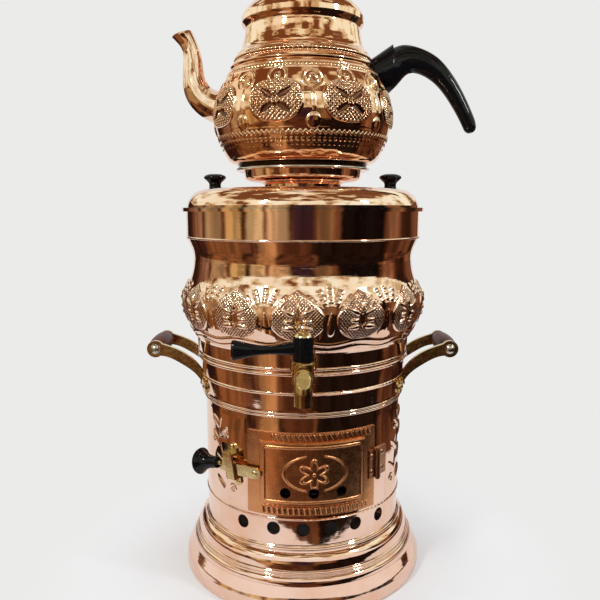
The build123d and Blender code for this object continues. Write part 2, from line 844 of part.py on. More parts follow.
def handle_arm():
    """Front right arm: a swept bar with an eye for the bolt and a lobed foot on the wall."""
    foot = Vector(arm_x - 1.0, bead_line + handle_rise + 2)
    knee = Vector(arm_x + 11.5, eye_z - 14)
    eye = Vector(eye_x, eye_z)
    spine = Spline(foot, knee, eye, tangents=((0.45, 1), (1, 0.85), (1, 0.1)))
    upper, lower = [], []
    for step, half in ((0, 3.0), (0.25, 3.6), (0.5, 4.8), (0.78, 4.8), (1, 6.2)):
        side = inward(spine % step) * half
        upper.append(spine @ step + side)
        lower.append(spine @ step - side)
    top, bottom = Spline(*upper), Spline(*lower)
    ends = [Line(upper[0], lower[0]), Line(upper[-1], lower[-1])]
    blade = make_face([top, bottom, *ends]) + Pos(eye.X, eye.Y) * Circle(handle_eye)
    arm = extrude(Plane.XZ * blade, handle_thick / 2, both=True)
    arm = Pos(0, -arm_y, 0) * arm
    surface = wall_plane(0, handle_angle, bead_line + handle_rise)
    lobes = Part()
    for side in (-1, 1):
        lobes += Pos(side * (foot_lobe - 0.3), 0) * Circle(foot_lobe)
    pad = surface * Pos(0, 0, arm_x * 0.8) * extrude(lobes, 60)
    outer = Pos(0, 0, bead_line + handle_rise) * Cone(
        tank_cone_radius(bead_line + handle_rise - 10) + foot_thick,
        tank_cone_radius(bead_line + handle_rise + 10) + foot_thick,
        20,
    )
    arm += pad & outer
    arm -= tank_outside
    arm -= rivet_holes(foot_planes("right"), foot_rivet)
    arm -= [plane * Pos(0, 0, 5) * Cylinder(foot_rivet, 10) for plane in foot_planes("right")]
    return arm - along((eye_x, 0, eye_z), (0, -1, 0), 100, grip_bolt / 2)


def foot_planes(side):
    """Planes of the four rivets of the arms' feet on one side."""
    height = bead_line + handle_rise
    turn = degrees((foot_lobe + 0.6) / tank_cone_radius(height))
    angles = [handle_angle - turn, handle_angle + turn]
    angles += [180 - angle for angle in angles]
    surface = tank_cone_radius(height) + foot_thick
    return [wall_plane(surface, a if side == "right" else -a, height) for a in angles]


def handle_grip():
    half = arm_y - handle_thick / 2
    barrel = turned(
        [
            Line((0, -half), (grip_radius - 1.4, -half)),
            Spline(
                (grip_radius - 1.4, -half),
                (grip_radius, -half * 0.62),
                (grip_radius + 0.6, 0),
                (grip_radius, half * 0.62),
                (grip_radius - 1.4, half),
            ),
            Line((grip_radius - 1.4, half), (0, half)),
        ]
    )
    barrel -= Cylinder(grip_bolt / 2, 4 * half)
    return Pos(eye_x, 0, eye_z) * Rot(90, 0, 0) * barrel


def grip_bolt_piece():
    """Bolt through the grip and both arms, a domed head at each end."""
    half = arm_y + handle_thick / 2
    bolt = Pos(eye_x, 0, eye_z) * Rot(90, 0, 0) * Cylinder(grip_bolt / 2, 2 * half)
    for side in (-1, 1):
        plane = Plane(origin=(eye_x, side * half, eye_z), z_dir=(0, side, 0))
        bolt += rivet(plane, 4.6, 2.6, grip_bolt / 2, 4)
    return bolt


# lid


def lid():
    cover = spun(lid_line(), sheet)
    cover += ring(lid_radius - 1.2, rim_top + 1.2, 1.2)
    skirt_outer = band_radius - sheet - lift_gap - 0.4
    cover += flat_ring(skirt_outer - sheet, skirt_outer, rim_top - lid_skirt, rim_top + 3.6)
    cover += flat_ring(skirt_outer - sheet, lid_radius, rim_top, rim_top + sheet)
    hole = flue_radius + lift_gap
    cover += flat_ring(hole, hole + sheet, lid_top - 6, lid_top)
    for side in (-1, 1):
        cover -= Pos(side * lid_knob_place, 0, lid_top) * Cylinder(2.1, 10)
    return cover


def lathe_knob(radius, tall, waist, bore, bore_depth):
    knob = turned(
        [
            Line((0, 0), (waist * 1.16, 0)),
            Spline(
                (waist * 1.16, 0),
                (waist, tall * 0.3),
                (radius, tall * 0.74),
                tangents=((-0.5, 1), (0, 1), (0.75, 1)),
            ),
            Spline(
                (radius, tall * 0.74),
                (radius * 0.78, tall * 0.93),
                (0, tall),
                tangents=((0, 1), (-1, 0.45), (-1, 0)),
            ),
        ]
    )
    return knob - tube_between(-1, bore_depth, bore)


def lid_knob(side):
    knob = lathe_knob(lid_knob_radius, lid_knob_tall, 5.2, 2.0, 8)
    return Pos(side * lid_knob_place, 0, lid_top) * knob


def lid_knob_screws():
    screws = []
    for side in (-1, 1):
        shank = tube_between(lid_top - sheet, lid_top + 8, 2.0)
        head = tube_between(lid_top - sheet - 2.2, lid_top - sheet, 4.0)
        screws.append(Pos(side * lid_knob_place, 0, 0) * (shank + head))
    return group(screws)


# pot stand


def pot_stand():
    """Dish with a rolled edge; the draught leaves through vents under its bowl."""
    stand = spun(stand_line(), sheet)
    hole = tube_between(lid_top, pot_seat, pot_foot + lift_gap)
    stand += ring(stand_rim, pot_seat - 0.3, stand_edge) - hole
    for k in range(stand_vents):
        vent = Rot(0, 0, k * 360 / stand_vents) * Pos(0, stand_vent_circle, lid_top + stand_height / 2)
        stand -= vent * Cylinder(stand_vent / 2, stand_height - 2 * over)
    return stand


# teapot

spout_stations = (
    # centre x, height above the seat, lean of the axis from upright, width, depth
    (-58.0, 53.6, 88, 30.0, 30.0),
    (-72.0, 54.4, 82, 29.0, 29.0),
    (-79.6, 55.7, 70, 27.4, 27.5),
    (-84.9, 58.6, 56, 25.6, 26.2),
    (-91.2, 65.2, 31, 22.8, 24.4),
    (-94.8, 73.8, 13, 20.2, 21.8),
    (-96.2, 82.8, 4, 17.8, 18.8),
    (-96.5, 93.7, 0, 16.2, 16.6),
    (-97.7, 102.2, 6, 15.2, 15.2),
    (-101.0, 109.7, 14, 16.2, 16.0),
    (-105.5, 116.4, 18, 18.4, 18.6),
)
spout_inside = Vector(-52, 0, pot_seat + spout_hole_height)
spout_sides = 12


def spout_loft(inset):
    """Ribbed spout, or its hollow when set in by the sheet."""
    sections = []
    for x, rise, lean, width, depth in spout_stations:
        a = radians(lean)
        plane = Plane(
            origin=(x, 0, pot_seat + rise), x_dir=(cos(a), 0, sin(a)), z_dir=(-sin(a), 0, cos(a))
        )
        turns = [radians((k + 0.5) * 360 / spout_sides) for k in range(spout_sides)]
        points = [(cos(t) * (depth / 2 - inset), sin(t) * (width / 2 - inset)) for t in turns]
        sections.append(plane * make_face(Polyline(*points, close=True).edges()))
    return loft(sections)


pot_ridges = [ring(r - 0.7, pot_seat + h, 1.0) for h, r in ((85.4, 63.4), (92.5, 59.6), (96.0, 57.7))]
pot_filled = filled(pot_line())
pot_inside = filled(inner_line(pot_line(), pot_sheet))


def pot_shell():
    shell = spun(pot_line(), pot_sheet)
    top = pot_top
    shell += flat_ring(pot_neck, pot_rim, top - 1.8, top)
    shell += pot_ridges
    shell -= along(spout_inside, (-1, 0, 0), 40, spout_hole / 2)
    x, z = handle_screw_point()
    return shell - along((x - 30, 0, z), (1, 0, 0), 60, 2.5)


def pot_spout():
    return spout_loft(0) - spout_loft(pot_sheet) - pot_filled


def pot_strainer():
    """Pierced disc behind the spout's mouth in the pot's wall."""
    disc = along(spout_inside, (-1, 0, 0), 40, spout_hole / 2 + 1.5) & pot_inside
    disc -= filled(inner_line(pot_line(), pot_sheet + strainer_thick))
    reach = range(-2, 3)
    pitch = strainer_hole * 1.6
    for row, column in [(r, c) for r in reach for c in reach if abs(r) + abs(c) < 4]:
        start = spout_inside + Vector(0, column * pitch, row * pitch)
        disc -= along(start, (-1, 0, 0), 40, strainer_hole / 2)
    return disc


handle_stations = (
    # centre x, height above the seat, lean of the section from upright, height, width
    (78.0, 87.6, 2, 39.6, 25.0),
    (87.2, 93.4, -6, 27.8, 20.0),
    (96.2, 95.0, 8, 23.0, 18.0),
    (104.8, 93.0, 22, 20.8, 17.0),
    (113.5, 88.6, 32, 19.4, 16.0),
    (122.0, 81.4, 42, 17.2, 15.0),
    (130.8, 70.6, 54, 15.2, 13.8),
    (139.2, 57.2, 61, 13.7, 12.6),
    (145.6, 45.2, 66, 12.6, 11.6),
    (148.8, 37.4, 72, 11.4, 10.6),
)


def handle_section(station, grow=0.0):
    x, rise, lean, tall, wide = station
    a = radians(lean)
    plane = Plane(
        origin=(x, 0, pot_seat + rise), x_dir=(0, -1, 0), z_dir=(cos(a), 0, -sin(a))
    )
    return plane * Ellipse(wide / 2 + grow, tall / 2 + grow)


def handle_screw_point():
    x, rise, _, _, _ = handle_stations[0]
    return x - 12, pot_seat + rise - 2


def pot_handle():
    """Horn that thins from its root to a round tip."""
    horn = loft([handle_section(station) for station in handle_stations])
    x, rise, lean, tall, wide = handle_stations[-1]
    a = radians(lean)
    ends = [handle_section(handle_stations[-1])]
    for reach, share in ((2.6, 0.86), (4.4, 0.6), (5.2, 0.3)):
        station = (x + reach * cos(a), rise - reach * sin(a), lean, tall * share, wide * share)
        ends.append(handle_section(station))
    horn += loft(ends)
    x, z = handle_screw_point()
    return horn - along((x - 10, 0, z), (1, 0, 0), 40, 2.5)


def pot_handle_socket():
    """Collar between the pot's wall and the horn."""
    root = handle_stations[0]
    face = handle_section(root, 0.6)
    inner = handle_section((56.0, 79.0, 14, 34.0, 22.0))
    socket = loft([inner, face]) - pot_filled - pot_ridges
    x, z = handle_screw_point()
    return socket - along((x - 30, 0, z), (1, 0, 0), 60, 2.5)


def pot_handle_screw():
    """Screw from inside the pot through its wall and the socket into the horn."""
    x, z = handle_screw_point()
    inner = pot_radius - 20
    shank = along((inner, 0, z), (1, 0, 0), x + 28 - inner, 2.5)
    head = along((inner - 1, 0, z), (1, 0, 0), 12, 5) & pot_inside
    return shank + head


pot_collar = pot_neck - pot_sheet - lift_gap


def pot_lid():
    cover = spun(pot_lid_line(), pot_sheet)
    cover -= tube_between(pot_top, pot_top + pot_sheet, pot_rim - pot_sheet)
    return cover - tube_between(pot_top, pot_top + pot_height, pot_screw / 2)


def pot_lid_collar():
    """Ring under the lid that drops into the pot's neck, soldered inside the lid's edge."""
    low = pot_top - pot_collar_tall
    collar = flat_ring(pot_collar - pot_sheet, pot_collar, low, pot_top + pot_sheet)
    return collar + flat_ring(pot_collar - pot_sheet, pot_rim - pot_sheet, pot_top, pot_top + pot_sheet)


def pot_lid_knob():
    knob = lathe_knob(pot_knob_radius, pot_knob_tall, 5.6, 2.0, 12)
    return Pos(0, 0, pot_top + pot_lid_rise) * knob


def pot_lid_screw():
    top = pot_top + pot_lid_rise
    head = tube_between(top - pot_sheet - 2.5, top, 5) & filled(inner_line(pot_lid_line(), pot_sheet))
    return head + tube_between(top - pot_sheet - 1, top + 12, 2.0)


def both_sides(piece):
    """The right-hand piece and its mirror image on the left."""
    return piece, mirror(piece, Plane.YZ)


arm_front_right = handle_arm()
arm_back_right = mirror(arm_front_right, Plane.XZ)
grip_right, grip_left = both_sides(handle_grip())
grip_bolt_right, grip_bolt_left = both_sides(grip_bolt_piece())

parts = {
    "base_skirt": base_skirt(),
    "fire_grate": fire_grate(),
    "fire_wall": fire_wall(),
    "fire_tube": fire_tube(),
    "door_plate": door_plate(),
    "hinge_leaf_door": hinge_leaf_door(),
    "hinge_leaf_wall": hinge_leaf_wall(),
    "hinge_pin": hinge_pin_piece(),
    "hinge_rivets_door": rivets(hinge_door_planes(), leaf_rivet, leaf_thick + door_sheet),
    "hinge_rivets_wall": rivets(hinge_wall_planes(), leaf_rivet, leaf_thick + sheet),
    "bolt_strap": bolt_strap(),
    "bolt_stop_rivet": rivets([bolt_stop_plane], bolt_stop, bolt_thick),
    "bolt_knob": bolt_knob(),
    "bolt_keeper": bolt_keeper(),
    "keeper_rivets": rivets(keeper_rivet_planes(), leaf_rivet, keeper_sheet + sheet),
    "tank_shell": tank_shell(),
    "tank_floor": tank_floor(),
    "tap_body": tap_body(),
    "tap_washer_outer": tap_washer_outer(),
    "tap_washer_inner": tap_washer_inner(),
    "tap_nut": tap_nut(),
    "tap_plug": tap_plug(),
    "tap_plug_nut": plug_nut(),
    "tap_lever": tap_lever(),
    "tap_cap": tap_cap(),
    "handle_arm_front_right": arm_front_right,
    "handle_arm_back_right": arm_back_right,
    "handle_arm_front_left": mirror(arm_front_right, Plane.YZ),
    "handle_arm_back_left": mirror(arm_back_right, Plane.YZ),
    "handle_grip_right": grip_right,
    "handle_grip_left": grip_left,
    "grip_bolt_right": grip_bolt_right,
    "grip_bolt_left": grip_bolt_left,
    "handle_rivets_right": rivets(foot_planes("right"), foot_rivet, foot_thick + sheet),
    "handle_rivets_left": rivets(foot_planes("left"), foot_rivet, foot_thick + sheet),
    "lid": lid(),
    "lid_knob_right": lid_knob(1),
    "lid_knob_left": lid_knob(-1),
    "lid_knob_screws": lid_knob_screws(),
    "pot_stand": pot_stand(),
    "pot_shell": pot_shell(),
    "pot_spout": pot_spout(),
    "pot_strainer": pot_strainer(),
    "pot_handle_socket": pot_handle_socket(),
    "pot_handle": pot_handle(),
    "pot_handle_screw": pot_handle_screw(),
    "pot_lid": pot_lid(),
    "pot_lid_collar": pot_lid_collar(),
    "pot_lid_knob": pot_lid_knob(),
    "pot_lid_screw": pot_lid_screw(),
}

os.makedirs("parts", exist_ok=True)
for name, shape in parts.items():
    export_step(shape, f"parts/{name}.step")
print(len(parts), "pieces; hinge axis at", [round(v, 3) for v in hinge_point])
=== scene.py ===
import math

import bmesh
import bpy
import numpy as np
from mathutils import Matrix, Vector


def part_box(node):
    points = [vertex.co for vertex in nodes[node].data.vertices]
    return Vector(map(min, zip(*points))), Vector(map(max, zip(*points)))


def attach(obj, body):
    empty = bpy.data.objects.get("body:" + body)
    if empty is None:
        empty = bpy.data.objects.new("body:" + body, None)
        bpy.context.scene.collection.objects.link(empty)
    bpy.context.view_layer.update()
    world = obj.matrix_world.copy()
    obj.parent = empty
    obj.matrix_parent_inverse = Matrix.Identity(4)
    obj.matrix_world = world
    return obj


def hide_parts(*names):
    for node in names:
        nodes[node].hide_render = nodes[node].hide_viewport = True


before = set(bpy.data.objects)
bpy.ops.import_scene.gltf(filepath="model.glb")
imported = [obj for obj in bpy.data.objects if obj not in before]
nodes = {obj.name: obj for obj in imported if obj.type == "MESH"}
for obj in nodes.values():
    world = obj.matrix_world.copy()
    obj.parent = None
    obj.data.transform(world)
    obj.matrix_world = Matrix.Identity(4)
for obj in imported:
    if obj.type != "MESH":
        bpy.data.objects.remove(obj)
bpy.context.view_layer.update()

mm = 0.001

# camera, in metres and degrees
camera = {"x": -0.0024, "distance": 0.590, "height": 0.3257, "pitch": -7.92, "lens": 38.63}


def newObject(name, data):
    obj = bpy.data.objects.new(name, data)
    bpy.context.scene.collection.objects.link(obj)
    return obj


def addCamera():
    data = bpy.data.cameras.new("camera")
    data.lens = camera["lens"]
    data.sensor_width = 36
    data.clip_start = 0.01
    cam = newObject("camera", data)
    cam.location = (camera["x"], -camera["distance"], camera["height"])
    cam.rotation_euler = (math.radians(90 + camera["pitch"]), 0, 0)
    bpy.context.scene.camera = cam


addCamera()
print("camera ready")


# a shader socket that takes part in ordinary sums
class Wire:
    def __init__(self, tree, socket):
        self.tree = tree
        self.socket = socket

    def math(self, operation, *others):
        inputs = dict(enumerate((self, *others)))
        return self.tree.add("ShaderNodeMath", {"operation": operation}, inputs)

    def __add__(self, other):
        return self.math("ADD", other)

    def __radd__(self, other):
        return self.math("ADD", other)

    def __sub__(self, other):
        return self.math("SUBTRACT", other)

    def __rsub__(self, other):
        return (self * -1).math("ADD", other)

    def __mul__(self, other):
        return self.math("MULTIPLY", other)

    def __rmul__(self, other):
        return self.math("MULTIPLY", other)

    def clamp(self):
        return self.math("MAXIMUM", 0.0).math("MINIMUM", 1.0)

    def ramp(self, low, high):
        inputs = {"Value": self, "From Min": low, "From Max": high, "To Min": 0.0, "To Max": 1.0}
        return self.tree.add("ShaderNodeMapRange", {"interpolation_type": "SMOOTHSTEP"}, inputs)

    def between(self, low, high, soft):
        return self.ramp(low - soft, low + soft) * (1 - self.ramp(high - soft, high + soft))


class Shader:
    def __init__(self, holder):
        holder.use_nodes = True
        self.tree = holder.node_tree
        self.tree.nodes.clear()

    def add(self, kind, settings=None, inputs=None, output=0):
        made = self.tree.nodes.new(kind)
        for name, value in (settings or {}).items():
            setattr(made, name, value)
        for name, value in (inputs or {}).items():
            if isinstance(value, Wire):
                self.tree.links.new(value.socket, made.inputs[name])
            else:
                made.inputs[name].default_value = value
        return Wire(self, made.outputs[output]) if len(made.outputs) else made

    def blendColors(self, factor, a, b):
        settings = {"data_type": "RGBA"}
        return self.add("ShaderNodeMix", settings, {0: factor, 6: a, 7: b}, output=2)

    def place(self, stretch=(1, 1, 1)):
        at = self.add("ShaderNodeTexCoord", output=3)
        return self.add("ShaderNodeVectorMath", {"operation": "MULTIPLY"}, {0: at, 1: stretch})

    def noise(self, scale, detail, stretch=(1, 1, 1), at=None):
        inputs = {"Vector": at or self.place(stretch), "Scale": scale, "Detail": detail}
        return self.add("ShaderNodeTexNoise", None, inputs)

    def join(self, x, y, z):
        return self.add("ShaderNodeCombineXYZ", None, {"X": x, "Y": y, "Z": z})

    def parts(self, vector):
        return [self.add("ShaderNodeSeparateXYZ", None, {0: vector}, output=k) for k in range(3)]

    # height in metres
    def bump(self, height):
        inputs = {"Height": height, "Distance": 1.0, "Strength": 1.0}
        return self.add("ShaderNodeBump", None, inputs)

    def emit(self, color):
        return self.add("ShaderNodeEmission", None, {"Color": color, "Strength": 1.0})

    # 1 for the camera, mirrors and glass, 0 for soft light
    def seenSharply(self):
        rays = [self.add("ShaderNodeLightPath", output=k) for k in (0, 3, 6)]
        return (rays[0] + rays[1] + rays[2]).clamp()

    def mix(self, factor, a, b):
        return self.add("ShaderNodeMixShader", None, {0: factor, 1: a, 2: b})

    def output(self, surface):
        self.add("ShaderNodeOutputMaterial", None, {"Surface": surface})

    def finish(self, inputs):
        self.output(self.add("ShaderNodeBsdfPrincipled", None, inputs))


def newMaterial(name):
    material = bpy.data.materials.new(name)
    return material, Shader(material)


# hand-worked copper sheet: lathe lines, soft dents, tarnish, and tin on what faces the axis
copper = {
    "color": (0.92, 0.64, 0.51, 1),
    "warm": (0.86, 0.52, 0.37, 1),
    "roughness": 0.05,
    "wear": 0.07,
    "dent": 0.0003,
    "line": 0.000016,
    "tarnishScale": 22,
    "wearScale": 190,
    "dentScale": 48,
    "lineScale": 640,
    "bandEdge": 0.0003,
    "innerContrast": 60,
}
tin = (0.62, 0.60, 0.57, 1)
soot = (0.018, 0.015, 0.013, 1)


# 1 on faces that look at the samovar's middle line, 0 on the outer ones
def towardsAxis(s, contrast):
    facing = s.parts(s.add("ShaderNodeNewGeometry", output=1))
    at = s.parts(s.place())
    return ((facing[0] * at[0] + facing[1] * at[1]) * -contrast).clamp()


def copperMaterial(name, look, inner=None, bands=()):
    material, s = newMaterial(name)
    tarnish = s.noise(look["tarnishScale"], 5).ramp(0.38, 0.72)
    color = s.blendColors(tarnish, look["color"], look["warm"])
    rough = look["roughness"] + look["wear"] * s.noise(look["wearScale"], 4).ramp(0.45, 0.8)
    if inner:
        innerColor, innerRough = inner
        inside = towardsAxis(s, look["innerContrast"])
        color = s.blendColors(inside, color, innerColor)
        rough = rough + innerRough * inside
    for low, high, bandColor, bandRough in bands:
        band = s.parts(s.place())[2].between(low, high, look["bandEdge"])
        color = s.blendColors(band, color, bandColor)
        rough = rough + bandRough * band
    lines = s.noise(look["lineScale"], 2, (0.03, 0.03, 1))
    dents = s.noise(look["dentScale"], 2)
    normal = s.bump(dents * look["dent"] + lines * look["line"])
    s.finish({"Base Color": color, "Metallic": 1.0, "Roughness": rough, "Normal": normal})
    return material


# cast and polished brass with file marks
brass = {
    "color": (0.76, 0.58, 0.29, 1),
    "dull": (0.50, 0.38, 0.20, 1),
    "roughness": 0.16,
    "wear": 0.14,
    "scratch": 0.00003,
    "dent": 0.0001,
}


def brassMaterial(name, look):
    material, s = newMaterial(name)
    stain = s.noise(60, 3).ramp(0.35, 0.8)
    color = s.blendColors(stain, look["color"], look["dull"])
    rough = look["roughness"] + look["wear"] * s.noise(330, 4).ramp(0.35, 0.8)
    normal = s.bump(s.noise(640, 3) * look["scratch"] + s.noise(120, 2) * look["dent"])
    s.finish({"Base Color": color, "Metallic": 1.0, "Roughness": rough, "Normal": normal})
    return material


# moulded black resin
resin = {
    "color": (0.004, 0.004, 0.005, 1),
    "dust": (0.012, 0.011, 0.010, 1),
    "roughness": 0.07,
    "wear": 0.1,
    "dent": 0.0005,
    "ior": 1.3,
}


def resinMaterial(name, look):
    material, s = newMaterial(name)
    dust = s.noise(260, 4).ramp(0.55, 0.85)
    color = s.blendColors(dust, look["color"], look["dust"])
    rough = look["roughness"] + look["wear"] * dust
    normal = s.bump(s.noise(70, 2) * look["dent"])
    s.finish({"Base Color": color, "Roughness": rough, "Normal": normal, "IOR": look["ior"]})
    return material


# turned and lacquered dark wood, its grain along Y
wood = {
    "light": (0.19, 0.036, 0.020, 1),
    "deep": (0.05, 0.010, 0.006, 1),
    "roughness": 0.34,
    "wear": 0.2,
    "ior": 1.22,
    "grain": 0.00008,
    "coat": 0.05,
    "coatRoughness": 0.15,
}


def woodMaterial(name, look):
    material, s = newMaterial(name)
    grain = s.noise(300, 6, (1, 0.07, 1)).ramp(0.35, 0.68)
    color = s.blendColors(grain, look["deep"], look["light"])
    rough = look["roughness"] + look["wear"] * grain
    normal = s.bump(grain * look["grain"])
    coat = {"Coat Weight": look["coat"], "Coat Roughness": look["coatRoughness"]}
    s.finish({"Base Color": color, "Roughness": rough, "Normal": normal, "IOR": look["ior"], **coat})
    return material


# rusty cast iron of the grate
iron = {
    "color": (0.03, 0.029, 0.028, 1),
    "rust": (0.10, 0.045, 0.02, 1),
    "metallic": 0.6,
    "roughness": 0.62,
    "wear": 0.2,
    "grain": 0.0005,
}


def ironMaterial(name, look):
    material, s = newMaterial(name)
    rust = s.noise(70, 6).ramp(0.45, 0.75)
    color = s.blendColors(rust, look["color"], look["rust"])
    rough = look["roughness"] + look["wear"] * rust
    normal = s.bump(s.noise(420, 5) * look["grain"])
    s.finish({"Base Color": color, "Metallic": look["metallic"], "Roughness": rough, "Normal": normal})
    return material


# plated steel of the grip bolts and the strainer
steel = {
    "color": (0.60, 0.59, 0.57, 1),
    "dull": (0.36, 0.34, 0.32, 1),
    "roughness": 0.22,
    "wear": 0.2,
    "grain": 0.00004,
}


def steelMaterial(name, look):
    material, s = newMaterial(name)
    worn = s.noise(300, 4).ramp(0.4, 0.75)
    color = s.blendColors(worn, look["color"], look["dull"])
    rough = look["roughness"] + look["wear"] * worn
    normal = s.bump(s.noise(900, 2) * look["grain"])
    s.finish({"Base Color": color, "Metallic": 1.0, "Roughness": rough, "Normal": normal})
    return material


# red fibre of the tap's washers
redFibre = {
    "color": (0.13, 0.035, 0.022, 1),
    "fleck": (0.24, 0.085, 0.05, 1),
    "roughness": 0.72,
    "wear": 0.15,
    "grain": 0.00006,
}


def fibreMaterial(name, look):
    material, s = newMaterial(name)
    fleck = s.noise(700, 5).ramp(0.4, 0.7)
    color = s.blendColors(fleck, look["color"], look["fleck"])
    rough = look["roughness"] + look["wear"] * fleck
    normal = s.bump(fleck * look["grain"])
    s.finish({"Base Color": color, "Roughness": rough, "Normal": normal})
    return material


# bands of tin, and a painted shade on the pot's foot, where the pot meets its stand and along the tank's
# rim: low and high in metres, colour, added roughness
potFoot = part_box("pot_shell")[0].z
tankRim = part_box("tank_shell")[1].z
# painted shade and reflection: the pot's foot darkened as if shaded by the stand's brim and mirroring it
footShadePainted = (potFoot, potFoot + 0.0037, (0.03, 0.016, 0.01, 1), 0.25)
rimLine = (tankRim - 0.0011, tankRim + 0.001, tin, 0.05)
standTop = (potFoot - 0.0012, potFoot + 0.002, tin, 0.05)
tinned = (tin, 0.22)
tankLook = {**copper, "dent": 0.00013, "line": 0.00003}
potLook = {
    **copper,
    "color": (0.92, 0.60, 0.43, 1),
    "warm": (0.85, 0.46, 0.27, 1),
    "dent": 0.0006,
}
flueLook = {**copper, "roughness": 0.3}
doorLook = {
    **copper,
    "color": (0.70, 0.31, 0.14, 1),
    "warm": (0.60, 0.24, 0.10, 1),
    "roughness": 0.27,
    "line": 0.00002,
}
hingeLook = {
    **copper,
    "color": (0.50, 0.25, 0.14, 1),
    "warm": (0.32, 0.15, 0.08, 1),
    "roughness": 0.3,
}
patinaLook = {
    **copper,
    "color": (0.17, 0.075, 0.045, 1),
    "warm": (0.09, 0.036, 0.021, 1),
    "roughness": 0.24,
}
copperBody = copperMaterial("copperBody", copper)
copperTank = copperMaterial("copperTank", tankLook, tinned, [rimLine])
copperPot = copperMaterial("copperPot", potLook, tinned, [footShadePainted])
copperStand = copperMaterial("copperStand", copper, None, [standTop])
copperFire = copperMaterial("copperFire", copper, (soot, 0.6))
copperFlue = copperMaterial("copperFlue", flueLook, (soot, 0.5))
copperDoor = copperMaterial("copperDoor", doorLook)
copperHinge = copperMaterial("copperHinge", hingeLook)
copperPatina = copperMaterial("copperPatina", patinaLook)
brassParts = brassMaterial("brassParts", brass)
blackResin = resinMaterial("blackResin", resin)
darkWood = woodMaterial("darkWood", wood)
castIron = ironMaterial("castIron", iron)
plated = steelMaterial("plated", steel)
fibre = fibreMaterial("fibre", redFibre)

# a node takes the material of the longest start that its name has
dress = {
    copperBody: ("base_skirt", "lid", "pot_spout", "handle_rivets"),
    copperStand: ("pot_stand",),
    copperTank: ("tank_shell", "tank_floor"),
    copperPot: ("pot_shell", "pot_lid"),
    copperFire: ("fire_wall",),
    copperFlue: ("fire_tube",),
    copperDoor: ("door_plate",),
    copperHinge: ("hinge_",),
    brassParts: (
        "bolt_strap", "bolt_stop", "bolt_keeper", "keeper_rivets", "tap_body", "tap_nut",
        "tap_plug", "tap_cap", "handle_arm", "lid_knob_screws", "pot_handle_screw", "pot_lid_screw",
    ),
    blackResin: (
        "tap_lever", "bolt_knob", "lid_knob_right", "lid_knob_left", "pot_handle", "pot_lid_knob",
    ),
    darkWood: ("handle_grip",),
    castIron: ("fire_grate",),
    plated: ("grip_bolt", "pot_strainer"),
    fibre: ("tap_washer",),
}


def dressNodes():
    materialOf = {start: material for material, starts in dress.items() for start in starts}
    for node, obj in nodes.items():
        longest = max((start for start in materialOf if node.startswith(start)), key=len)
        obj.data.materials.clear()
        obj.data.materials.append(materialOf[longest])


dressNodes()
print("materials on", len(nodes), "nodes")


# reliefs, in millimetres: a raised bead along a line, a soft step, and a teardrop
def bead(distance, width):
    return np.sqrt(np.clip(1 - (2 * distance / width) ** 2, 0, 1))


def rise(low, high, value):
    t = np.clip((value - low) / (high - low), 0, 1)
    return t * t * (3 - 2 * t)


# teardrop about x, y that narrows in the direction of the turn, in degrees
def petal(u, v, x, y, turn, length, width):
    c, s = math.cos(math.radians(turn)), math.sin(math.radians(turn))
    along = ((u - x) * c + (v - y) * s) / (length / 2)
    across = ((v - y) * c - (u - x) * s) / (width / 2)
    narrowing = 0.72 - 0.28 * along
    return np.sqrt(np.clip(1 - along**2 - (across / np.maximum(narrowing, 0.2)) ** 2, 0, 1))


# degrees from the nearest of several evenly spaced centres
def around(angle, first, count):
    pitch = 360 / count
    return (angle - first + pitch / 2) % pitch - pitch / 2


# slow unevenness of hand-beaten sheet, a sum of waves round and up the sheet
def handwork(angle, height, seed, size=0.06):
    rng = np.random.default_rng(seed)
    waves = 9
    total = np.zeros_like(angle)
    for _ in range(waves):
        turns, climbs = rng.integers(2, 19), rng.uniform(-0.3, 0.3)
        total = total + np.cos(np.radians(angle) * turns + height * climbs + rng.uniform(0, 6.28))
    return size * total / waves


# how a node's outer line is read: how far past the ends, how thick a level is, and how deep a
# level may lie under its neighbours in the window before it is left out, in millimetres
trace = {"margin": 12, "level": 0.06, "window": 2.5, "dip": 0.6}


# outermost line of a spun node between two heights, smooth between the rows of its mesh
def outerLine(node, low, high, rows):
    points = np.array([v.co for v in nodes[node].data.vertices]) / mm
    radius, z = np.hypot(points[:, 0], points[:, 1]), points[:, 2]
    keep = (z > low - trace["margin"]) & (z < high + trace["margin"])
    radius, z = radius[keep], z[keep]
    levels = np.unique(np.round(z, 1))
    outer = np.array([radius[np.abs(z - level) < trace["level"]].max() for level in levels])
    hull = [(levels[0], outer[0])]
    for level, r in zip(levels[1:], outer[1:]):
        near = np.abs(levels - level) < trace["window"]
        if r >= outer[near].max() - trace["dip"]:
            hull.append((level, r))
    hull = np.array(hull)
    t = np.linspace(low, high, rows)
    return smoothThrough(hull[:, 0], hull[:, 1], t), t


# cubic curve through the points x, y
def smoothThrough(x, y, at):
    slope = np.gradient(y, x)
    k = np.clip(np.searchsorted(x, at) - 1, 0, len(x) - 2)
    h = x[k + 1] - x[k]
    t = (at - x[k]) / h
    low = (1 + 2 * t) * (1 - t) ** 2 * y[k] + t * (1 - t) ** 2 * h * slope[k]
    return low + t * t * (3 - 2 * t) * y[k + 1] - t * t * (1 - t) * h * slope[k + 1]


